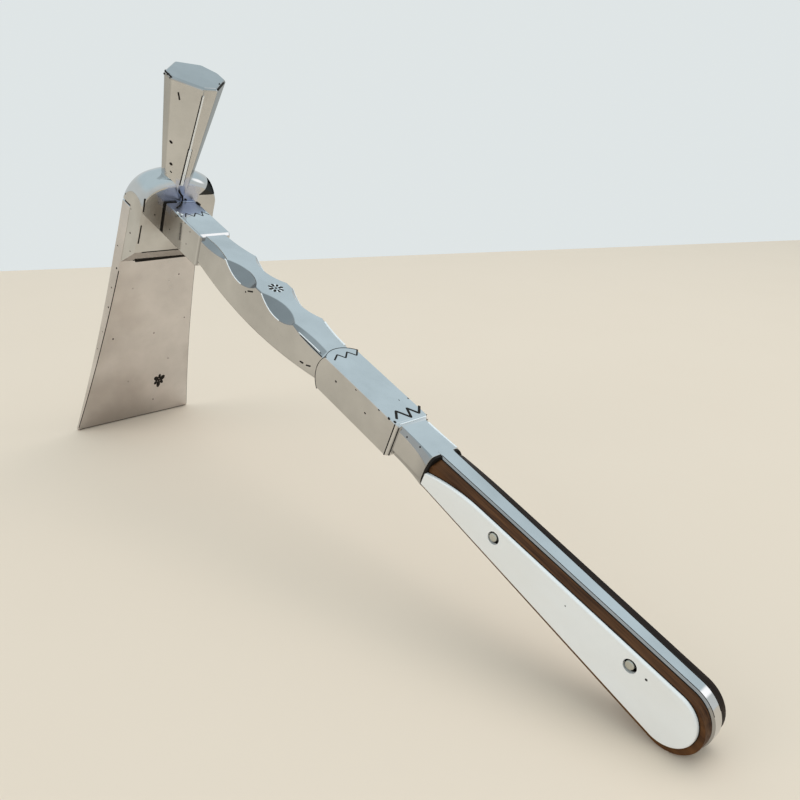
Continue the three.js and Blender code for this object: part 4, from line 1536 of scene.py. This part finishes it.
# %% Stamped flowers
SHANK_FLOWER = 58.5
STAMP = (8.45, -80.7)
PETAL_SIZES = (0.7, 1.25)
DOT_SIZE = 0.5
DROP_FLAT = 0.14
thin_out = math.atan2((BLADE_THICK - EDGE_THICK) / 2, BLADE_DROP - HUB_FOOT)


def shank_level(x, level):
    """Half the width or the top of the shank at a place along the bar, by the same rule as its tree."""
    t = (x - BLOCK_LENGTH) / SHANK_LENGTH
    return mix(4 * t * (1 - t), shank.sizes[f"End_{level}"], shank.sizes[f"Mid_{level}"])


def blade_front(z):
    """How far forward the blade's front face lies at a level."""
    return BLADE_FRONT - max(-HUB_FOOT - z, 0) * math.tan(thin_out)


def flower(name, place, material, **sizes):
    """Petals round a circle with a dot in the middle, lying flat at the origin and then put in place."""
    tree = Tree(name, **sizes)
    size = tree.size("Petal")
    ring = tree.add("GeometryNodeMeshCircle", Vertices=tree.size("Petals"), Radius=tree.size("Radius"))
    drop = tree.add("GeometryNodeMeshIcoSphere", Radius=1.0, Subdivisions=2)
    outward = tree.turned("X", tree.position())
    grown = size * tree.random(*PETAL_SIZES)
    petals = tree.on_points(
        ring, drop, outward, tree.vector(grown, grown * tree.size("Plump"), size * DROP_FLAT))
    dot_scale = tree.vector(size * DOT_SIZE, size * DOT_SIZE, size * DROP_FLAT)
    dot = tree.add("GeometryNodeTransform", Geometry=drop, Scale=dot_scale)
    both = tree.node("GeometryNodeJoinGeometry")
    for part in (petals, dot):
        tree.tree.links.new(part, both.inputs[0])
    mark = tree.make(both.outputs[0], blank(name), material)
    mark.data.transform(place)
    return finish_piece(mark, material, sharp=MARK_SHARP)


on_shank = Matrix.Translation((SHANK_FLOWER, 0.3, shank_level(SHANK_FLOWER, "top")))
flower("flower_shank", on_shank, DARK, Petals=8, Radius=1.75, Petal=0.85, Plump=0.55, Seed=2)
between_petals = on_shank @ Matrix.Rotation(0.4, 4, "Z")
# The burr's bright flower is a painted highlight.
flower("flower_shank_burr", between_petals, PAINTED_HIGHLIGHT, Petals=8, Radius=1.8, Petal=0.5, Plump=0.55, Seed=6)
lie_on_blade = Matrix.Rotation(math.pi / 2 + thin_out, 4, "Y") @ Matrix.Scale(1.4, 4, (1, 0, 0))
on_blade = Matrix.Translation((blade_front(STAMP[1]), *STAMP)) @ lie_on_blade
flower("flower_blade", on_blade, DARK, Petals=6, Radius=1.5, Petal=1.12, Plump=0.68, Seed=4)

# %% [markdown]
# ## Signs of use
# Knocks and rust have left single pits on the flat faces. Each pit is a flattened drop. Its place and the
# way it faces are stored on a point, and Geometry Nodes set a drop there, turned to face out. A pit is
# listed by its place, the way it faces and its size. On the blade and the poll the place is worked out
# from their shape.

# %% Where the pits are
LEFT = (0, -1, 0)
UP = (0, 0, 1)
AHEAD = (1, 0, 0)
NECK_SIDE = (0, -0.9, 0.4)
POLL_SIDE = (0.69, -0.70, -0.16)
POLL_FAR_RIM = (0.6, 0.3, 0.7)
BAR_PITS = (
    ((99.6, -5.95, 1.5), LEFT, 0.4), ((113.3, -5.95, 0.6), LEFT, 0.4), ((107.6, -5.95, 4.4), LEFT, 0.35),
    ((117.5, -5.95, 4.9), LEFT, 0.4), ((121.6, -5.95, 5.2), LEFT, 0.45), ((116.6, 2.1, 5.5), UP, 0.3),
    ((116.9, 5.3, 5.5), UP, 0.35), ((123.6, -5.6, 5.5), UP, 0.5), ((11.8, -5.85, 3.0), LEFT, 0.35),
    ((17.5, -5.85, 3.9), LEFT, 0.25), ((9.1, -5.85, 5.3), LEFT, 0.5), ((10.4, -5.5, 5.8), UP, 0.35),
    ((16.3, -5.85, -1.2), LEFT, 0.25), ((41.4, -5.72, 0.1), LEFT, 0.3), ((209.7, -6.02, 2.2), LEFT, 0.35),
    ((187.1, -6.25, 1.4), LEFT, 0.2), ((133.6, -5.0, 4.7), NECK_SIDE, 0.3),
    ((-11.0, -13.7, 2.2), LEFT, 1.0), ((8.0, -5.85, 4.6), LEFT, 0.3), ((13.9, -5.85, 5.2), LEFT, 0.35),
)
BLADE_PITS = (
    (9.2, -29.0, 0.35), (2.6, -55.4, 0.3), (10.9, -69.7, 0.35), (7.2, -90.7, 0.3), (-14.3, -55.1, 0.4),
    (-9.0, -33.0, 0.25), (-5.5, -78.0, 0.25), (15.0, -50.0, 0.25),
)
SIDE_PITS = (
    (-9.5, -24.5, 0.5), (-10.4, -33.0, 0.35), (-9.8, -41.0, 0.45), (-10.8, -60.0, 0.35), (-5.0, -8.0, 0.4),
    (-3.0, -14.0, 0.35), (-11.5, -16.5, 0.4), (-10.2, -52.0, 0.3), (-7.0, 0.0, 0.3),
)
POLL_PITS = (
    ((2.7, -6.15, 14.9), POLL_SIDE, 0.7), ((2.83, -4.79, 7.1), POLL_SIDE, 0.65),
    ((2.88, -4.28, 4.2), POLL_SIDE, 0.5), ((0.1, -9.4, 35.9), POLL_SIDE, 0.7),
    ((1.9, -9.45, 35.7), POLL_SIDE, 0.6), ((6.0, 5.2, 36.4), POLL_FAR_RIM, 0.6),
)
turn_out = lean.to_3x3()
PITS = [
    *BAR_PITS,
    *(((blade_front(z), y, z), AHEAD, size) for y, z, size in BLADE_PITS),
    *(((x, -side_half(z), z), LEFT, size) for x, z, size in SIDE_PITS),
    *((tuple(lean @ Vector(place)), tuple(turn_out @ Vector(out)), size) for place, out, size in POLL_PITS),
]
print(len(PITS), "pits")

# %% Pits on points
PIT_OVALS = (0.45, 1.0)
pits = new_object("pits", [place for place, _, _ in PITS], [])
pits.data.attributes.new("facing", "FLOAT_VECTOR", "POINT")
pits.data.attributes.new("width", "FLOAT", "POINT")
for i, (_, out, size) in enumerate(PITS):
    pits.data.attributes["facing"].data[i].vector = out
    pits.data.attributes["width"].data[i].value = size
scatter = Tree("pits_on_points", Flatness=0.16, Seed=7)
pit_facing = scatter.stored("facing", "FLOAT_VECTOR")
pit_width = scatter.field(scatter.stored("width", "FLOAT"))
pit_drop = scatter.add("GeometryNodeMeshIcoSphere", Radius=1.0, Subdivisions=2)
pit_scale = scatter.vector(
    pit_width, pit_width * scatter.random(*PIT_OVALS), pit_width * scatter.size("Flatness"))
dotted = scatter.on_points(scatter.start.outputs[0], pit_drop, scatter.turned("Z", pit_facing), pit_scale)
scatter.make(dotted, pits, DARK)
finish_piece(pits, DARK, sharp=MARK_SHARP)

# %% [markdown]
# ## Lines along edges and seams
# Dark lines lie along some edges and seams, and painted highlights along others. All of these are strokes
# along paths that are worked out from the shapes, so they lie on the steel. A high contrast breaks a line
# into dashes. The dome of the bolster, its bevel and the grip come first.

# %% Lines on the bolster and the grip
def edge_lines(name, paths, width, contrast, material=DARK):
    """Strokes of a width along the given paths, broken up by a contrast."""
    points = []
    edges = []
    for path in paths:
        edges += [(len(points) + i, len(points) + i + 1) for i in range(len(path) - 1)]
        points += path
    mesh = bpy.data.meshes.new(name)
    mesh.from_pydata(points, edges, [])
    tree = Tree(name, Line=width)
    curve = tree.add("GeometryNodeMeshToCurve", Mesh=tree.start.outputs[0])
    marks = tree.make(stroke(tree, curve, 1.0, contrast), in_scene(name, mesh), material)
    return finish_piece(marks, material, sharp=MARK_SHARP)


BEVEL_LINE_SHORT = 0.3
CREST_POINTS = 44
PLATE_LINE_INSET = -0.05
PLATE_LINE_PROUD = 0.12
half_wide = BOLSTER_WIDTH / 2
half_high = BOLSTER_HEIGHT / 2


def dome_front(y, z):
    """How far forward the dome reaches at a place across the bolster."""
    return DOME_MIDDLE - math.sqrt(DOME ** 2 - y ** 2 - z ** 2)


seam = [[(dome_front(y, half_high), y, BOLSTER_TOP) for y in spread(-half_wide, half_wide, 24)]]
bevel_lines = []
crest_lines = []
plate_lines = []
for name, side in SIDES.items():
    heights = spread(-half_high, half_high, 24)
    seam.append([(dome_front(half_wide, z), side * half_wide, BOLSTER_AXIS + z) for z in heights])
    for back, drawn_in in ((BOLSTER_BEVEL, 0.0), (0.0, BOLSTER_BEVEL / 2)):
        rise = half_high - drawn_in - BEVEL_LINE_SHORT
        bevel_lines.append([
            (BOLSTER_END - back, side * (half_wide - drawn_in), BOLSTER_AXIS + z) for z in (rise, -rise)])
    crest, reach = tang_edge(side, True)
    crest_lines.append([(x, reach(x), z) for x, z in grip_outline(SCALE_START, **crest)[:CREST_POINTS]])
    plate_foot = grip_outline(SCALE_START, **plate_rim(PLATE_SINKS[name] + PLATE_LINE_INSET))
    plate_lines.append([(x, side * (liner_face(x) + PLATE_LINE_PROUD), z) for x, z in plate_foot])
edge_lines("bolster_seam", seam, width=0.2, contrast=1.4)
edge_lines("bolster_bevel_lines", bevel_lines, width=0.34, contrast=1.6)
edge_lines("tang_crest_lines", crest_lines, width=0.16, contrast=1.6)
edge_lines("plate_lines", plate_lines, width=0.26, contrast=1.0)

# %% [markdown]
# The joint between head and block is old work: a bead of solder with a crack in it, a dark spot beside it
# and dirty streaks down the hub. These paths follow the real ones, so they are plain lists of places.

# %% Lines at the joint of the head
STREAKS = ((7.2, 2.6), (-2.6, -9.4))
CRACK = (
    (1.0, -1.78, 10.33), (1.0, -1.25, 9.32), (0.97, -0.13, 8.16), (0.9, 0.15, 7.1), (0.7, 0.3, 6.3),
    (0.99, 0.01, BLOCK_TOP + 0.02), (2.68, -1.42, BLOCK_TOP), (4.61, -3.88, BLOCK_TOP),
)
CRACK_END = ((0.1, 1.6, 6.5), (0.1, 2.2, 6.25))
SOLDER_SPOT = ((1.6, 5.35, BLOCK_TOP), (2.5, 5.5, BLOCK_TOP), (3.4, 5.6, BLOCK_TOP))
GLINTS = (
    ((7.5, -5.2, BLOCK_TOP), (8.4, -5.3, BLOCK_TOP)),
    ((9.0, -4.6, BLOCK_TOP), (9.8, -4.4, BLOCK_TOP)),
    ((0.02, -2.1, 11.3), (0.02, -1.3, 11.45)),
)
hub_streaks = [[(-0.05, 0.7 - side_half(z), z) for z in spread(start, end, 8)] for start, end in STREAKS]
edge_lines("hub_streaks", hub_streaks, width=0.55, contrast=3.4)
solder_bead = [(BLOCK_JOINT / 2, y, BLOCK_TOP - 0.34) for y in spread(-1.6, 5.3, 14)]
edge_lines("solder_bead", [solder_bead], width=0.96, contrast=0.3, material=BAR_STEEL)
edge_lines("solder_crack", [CRACK, CRACK_END], width=0.62, contrast=1.8)
edge_lines("solder_spot", [SOLDER_SPOT], width=0.95, contrast=0.8)
# Painted highlights: glints on the block's top edge and on the hub's rim.
edge_lines("joint_glints", GLINTS, width=0.62, contrast=0.5, material=PAINTED_HIGHLIGHT)

# %% [markdown]
# The blade has a dark seam under the hub's foot, and dirt along the bevel above it. Its near edge is
# darker than its far one, and a thin dark line shows the keen edge against the floor.

# %% Lines on the hub's foot and the blade
FOOT_LINE = ((-9.5, -0.3), (11.0, 0.0))
BEVEL_LINE = (-12.0, 3.0)
KEEN_LINE = 23.5
foot = -HUB_FOOT - 0.25
foot_seam = [(blade_front(foot), y, foot + rise) for y, rise in FOOT_LINE]
edge_lines("foot_seam", [foot_seam], width=0.9, contrast=1.6)
bevel_top = HUB_FRONT_DEPTH - HUB_FOOT
bevel_line = [(0.0, y, bevel_top) for y in BEVEL_LINE]
edge_lines("foot_bevel_line", [bevel_line], width=0.3, contrast=2.5)
blade_levels = spread(-HUB_FOOT - 4, -BLADE_DROP + 1.5, 40)
near_line, far_line = (
    [(blade_front(z) - 0.05, side * (side_half(z) - 0.15), z) for z in blade_levels]
    for side in SIDES.values())
edge_lines("blade_edge_lines", [near_line], width=0.32, contrast=3.8)
edge_lines("blade_far_edge_line", [far_line], width=0.14, contrast=3.4)
keen = -BLADE_DROP + 0.4
keen_line = [(blade_front(keen), y, keen) for y in spread(-KEEN_LINE, KEEN_LINE, 20)]
edge_lines("keen_edge_line", [keen_line], width=0.18, contrast=3.0)

# %% [markdown]
# The ridge beside the poll's front facet has a painted highlight, most of all at its foot, with a thin
# painted shade beside it. Blows have chipped and dented the rim of the striking face, and there are a few
# short scratches on the poll and on the sides of the bar.

# %% Lines on the poll, and scratches
POLL_SCRATCH = ((4.02, -7.55, 32.3), (4.2, -7.22, 31.3), (4.35, -6.85, 30.1))
SHANK_SCRATCHES = (
    ((53.4, -5.89, 2.97), (54.4, -5.9, 3.45), (55.5, -5.9, 3.99)),
    ((83.2, -5.505, -3.05), (84.5, -5.475, -2.8)),
    ((86.1, -5.435, -2.48), (87.0, -5.417, -2.06), (87.6, -5.404, -1.8)),
)
DENT = (0.0, 0.25, 0.5, 0.8)


def poll_front(height, off):
    """A place on the ridge beside the poll's front facet."""
    across = poll_across(height)
    narrow = POLL_NARROW * across / 2
    return tuple(lean @ Vector((across / ROOT_TWO - narrow - 0.1, off - narrow, height)))


def ridge_line(off, count=None):
    """The first few places along the ridge, or all of them, moved sideways."""
    return [poll_front(height, off) for height in spread(0.6, POLL_LENGTH - 2.5, 24)[:count]]


edge_lines("poll_ridge", [ridge_line(0.3), ridge_line(0.3, 9)], width=0.7, contrast=1.6, material=PAINTED_HIGHLIGHT)
edge_lines("poll_ridge_foot", [ridge_line(0.35, 11)], width=1.15, contrast=0.8, material=PAINTED_HIGHLIGHT)
edge_lines("poll_ridge_shade", [ridge_line(-0.12)], width=0.34, contrast=2.6)
edge_lines("poll_foot_shade", [ridge_line(-0.3, 11), ridge_line(1.0, 11)], width=0.4, contrast=2.0)
rim = rim_ring(0.5, 0.45)
edge_lines("rim_chips", [rim[24:30], rim_ring(1.6, 0.1)[25:28]], width=0.5, contrast=2.2)
edge_lines("rim_dent", [[rim[7].lerp(rim[8], t) for t in DENT]], width=0.75, contrast=1.6)
poll_scratch = [tuple(lean @ Vector(place)) for place in POLL_SCRATCH]
edge_lines("side_scratches", [poll_scratch, *SHANK_SCRATCHES], width=0.52, contrast=2.0)

# %% [markdown]
# Last come the glints where the file left a sharp rim: round the scallops, along the long hollows before
# the bolster, on the bolster's bevel and on the far edge of the neck. The rims follow the same arcs as
# the files in the shank's tree.

# %% Bright rims of the filed hollows
def file_cut(x, centre, radius, depth):
    """Width of the flat that a round file leaves across the edge at a place along the bar."""
    level = (shank_level(centre, "half") + shank_level(centre, "top")) / ROOT_TWO - depth + radius
    out = level - math.sqrt(radius ** 2 - (x - centre) ** 2)
    return shank_level(x, "half") + shank_level(x, "top") - out * ROOT_TWO


def scallop_rim(middle, side):
    """The lower front rim of one scallop, where the file's arc leaves the side of the bar."""
    centre = BLOCK_LENGTH + middle
    path = []
    for x in (centre + off for off in spread(-9.0, 1.5, 16)):
        cut = file_cut(x, centre, shank.sizes["File_radius"], shank.sizes["File_depth"])
        drop = max(cut, shank.sizes["Edge"])
        path.append((x, side * shank_level(x, "half"), shank_level(x, "top") - drop))
    return path


def hollow_edge(x, side):
    """Where the long hollow before the bolster leaves the top of the bar."""
    cut = file_cut(x, SHANK_END, shank.sizes["Hollow_radius"], shank.sizes["Hollow_depth"])
    return x, side * (shank_level(x, "half") - cut), shank_level(x, "top")


print(f"at the bolster the long hollow starts {hollow_edge(SHANK_END, 1)[1]:.1f} mm from the middle")

# %% Glints
HOLLOW_GLINT = ((79.0, -5.42, 4.75), (85.0, -5.3, 4.75), (89.6, -5.15, 4.6))
HOLLOW_STREAK = ((80.3, -5.5, 4.4), (85.9, -5.42, 4.2), (91.0, -5.3, 3.9))
NECK_FAR_CORNER = 5
far_edge = [hollow_edge(x, 1) for x in spread(78.5, 90.0, 12)]
edge_lines("far_hollow_glint", [far_edge], width=0.6, contrast=1.2, material=PAINTED_HIGHLIGHT)
bevel_place = BOLSTER_END - BOLSTER_BEVEL / 2
bevel_glint = [(bevel_place, y, BOLSTER_TOP - BOLSTER_BEVEL / 4) for y in spread(-4.6, 5.2, 8)]
edge_lines("bolster_bevel_glint", [bevel_glint], width=0.42, contrast=1.4, material=PAINTED_HIGHLIGHT)
scallops = [shank.sizes["Middle"] + shank.sizes["Pitch"] * pitches for pitches in (-0.5, 0.5)]
rims = [scallop_rim(middle, side) for middle in scallops for side in SIDES.values()]
edge_lines("scallop_rims", rims, width=0.34, contrast=2.0, material=PAINTED_HIGHLIGHT)
neck_corners = [neck_ring(t)[NECK_FAR_CORNER] for t in spread(0.12, 0.97, 12)]
neck_glint = [(x, y - 0.25, z - 0.02) for x, y, z in neck_corners]
edge_lines("neck_glint", [neck_glint], width=0.7, contrast=1.0, material=PAINTED_HIGHLIGHT)
edge_lines("hollow_glint", [HOLLOW_GLINT], width=0.3, contrast=1.6, material=PAINTED_HIGHLIGHT)
edge_lines("hollow_streak", [HOLLOW_STREAK], width=0.3, contrast=2.0)

# %% [markdown]
# ## Floor, light and camera
# A plain pale floor and soft light suit polished steel, because the steel shows what is around it. The
# floor is one face that ends behind the tool, where the backdrop begins, so its far edge is the horizon
# of the picture.

# %% Floor
FLOOR_FAR = ((-0.10, 1.13), (-0.187, 0.886), (-0.467, 0.064))
FLOOR_LEFT = (-3.0, 0.15)
FLOOR_WIDE = 3.0
FLOOR_COLOURS = ((0.765, 0.632, 0.505), (0.75, 0.617, 0.49))


def floor_material():
    s = Shader("pale_floor")
    mottle = s.noise(s.place, 12, detail=2)
    s.set(Base_Color=s.blend(mottle, *FLOOR_COLOURS), Roughness=s.ramp(mottle, 0.85, 0.95))
    return s.material


floor_corners = [
    *FLOOR_FAR, FLOOR_LEFT, (FLOOR_LEFT[0], -FLOOR_WIDE),
    (FLOOR_WIDE, -FLOOR_WIDE), (FLOOR_WIDE, FLOOR_FAR[0][1]),
]
floor_mesh = bpy.data.meshes.new("floor")
floor_mesh.from_pydata([(x, y, 0) for x, y in floor_corners], [], [tuple(range(len(floor_corners)))])
floor_mesh.materials.append(floor_material())
floor = in_scene("floor", floor_mesh)
print("floor faces", [round(c, 2) for c in floor_mesh.polygons[0].normal])

# %% [markdown]
# The world is a pale backdrop with three soft patches: a bluish sky above, which the bar's top shows, and
# two bright lamps behind, which the bevels and the butt show. Each patch is a direction and two angles,
# full strength inside the smaller one and nothing outside the larger. Panels on stands would do the same,
# but they would have to be hidden from the camera.

# %% World
BACKDROP = (0.74, 0.785, 0.79)
PATCHES = (
    ((0.0, 0.0, 1.0), 48, 74, (0.66, 0.80, 0.87)),
    ((0.15, 0.52, 0.84), 6, 14, (1.5, 1.52, 1.55)),
    ((0.40, 0.78, 0.47), 4, 10, (1.6, 1.62, 1.65)),
)
world = bpy.data.worlds.new("pale_room")
world.use_nodes = True
bpy.context.scene.world = world
sky = Nodes(world.node_tree)
looking = sky.node("ShaderNodeTexCoord").outputs["Generated"]
sky_colour = BACKDROP
for direction, inside, outside, tone in PATCHES:
    towards = sky.node("ShaderNodeVectorMath", {"operation": "DOT_PRODUCT"}, Vector=looking)
    towards.inputs[1].default_value = Vector(direction).normalized()
    fade = sky.node(
        "ShaderNodeMapRange", {"interpolation_type": "SMOOTHSTEP"}, Value=towards.outputs["Value"],
        From_Min=math.cos(math.radians(outside)), From_Max=math.cos(math.radians(inside)))
    sky_colour = sky.blend(fade.outputs["Result"], sky_colour, tone)
sky.tree.links.new(sky_colour, sky.tree.nodes["Background"].inputs["Color"])
print(len(PATCHES), "soft patches in the world")

# %% [markdown]
# Two soft boxes light the tool and give it a soft shadow, one overhead and a larger one far off to the
# left. Mirrors don't show them, so that the steel shows only the room.

# %% Lamps
LAMPS_AIM = Vector((0, 0, 0.05))


def soft_lamp(name, place, size, power):
    data = bpy.data.lights.new(name, "AREA")
    data.size = size
    data.energy = power
    lamp = in_scene(name, data)
    lamp.location = place
    lamp.rotation_mode = "QUATERNION"
    lamp.rotation_quaternion = (LAMPS_AIM - Vector(place)).to_track_quat("-Z", "Y")
    lamp.visible_glossy = False
    print(f"{name}: {power} W, {size} m wide")
    return lamp


soft_lamp("overhead", (0.15, 0.35, 1.1), size=0.9, power=3.9)
soft_lamp("left_fill", (-0.7, -1.8, 0.85), size=1.4, power=10.4)

# %% [markdown]
# The camera stands where the photograph was taken from. Its place and directions were measured against
# the tool lying down, in millimetres, so `STAND` and `turn_up` carry them into the frame as they do the
# pieces.

# %% Camera
LENS = 36.17
SENSOR = 36.0
NEAREST_SEEN = 0.01
CAMERA_MM = Vector((226.86, -143.97, 127.58))
CAMERA_FORWARD = Vector((-0.500508, 0.664855, -0.554491))
CAMERA_RIGHT = Vector((0.634306, 0.717522, 0.287783))
forward = turn_up.to_3x3() @ CAMERA_FORWARD
right = turn_up.to_3x3() @ CAMERA_RIGHT
camera_data = bpy.data.cameras.new("camera")
camera_data.sensor_width = SENSOR
camera_data.lens = LENS
camera_data.clip_start = NEAREST_SEEN
camera = in_scene("camera", camera_data)
camera.location = STAND @ CAMERA_MM
camera.rotation_mode = "QUATERNION"
camera.rotation_quaternion = Matrix((right, right.cross(forward), -forward)).transposed().to_quaternion()
bpy.context.scene.camera = camera
bpy.context.scene.view_settings.view_transform = "Standard"
print("camera at", [round(c, 4) for c in camera.location])

# %% [markdown] ## The end
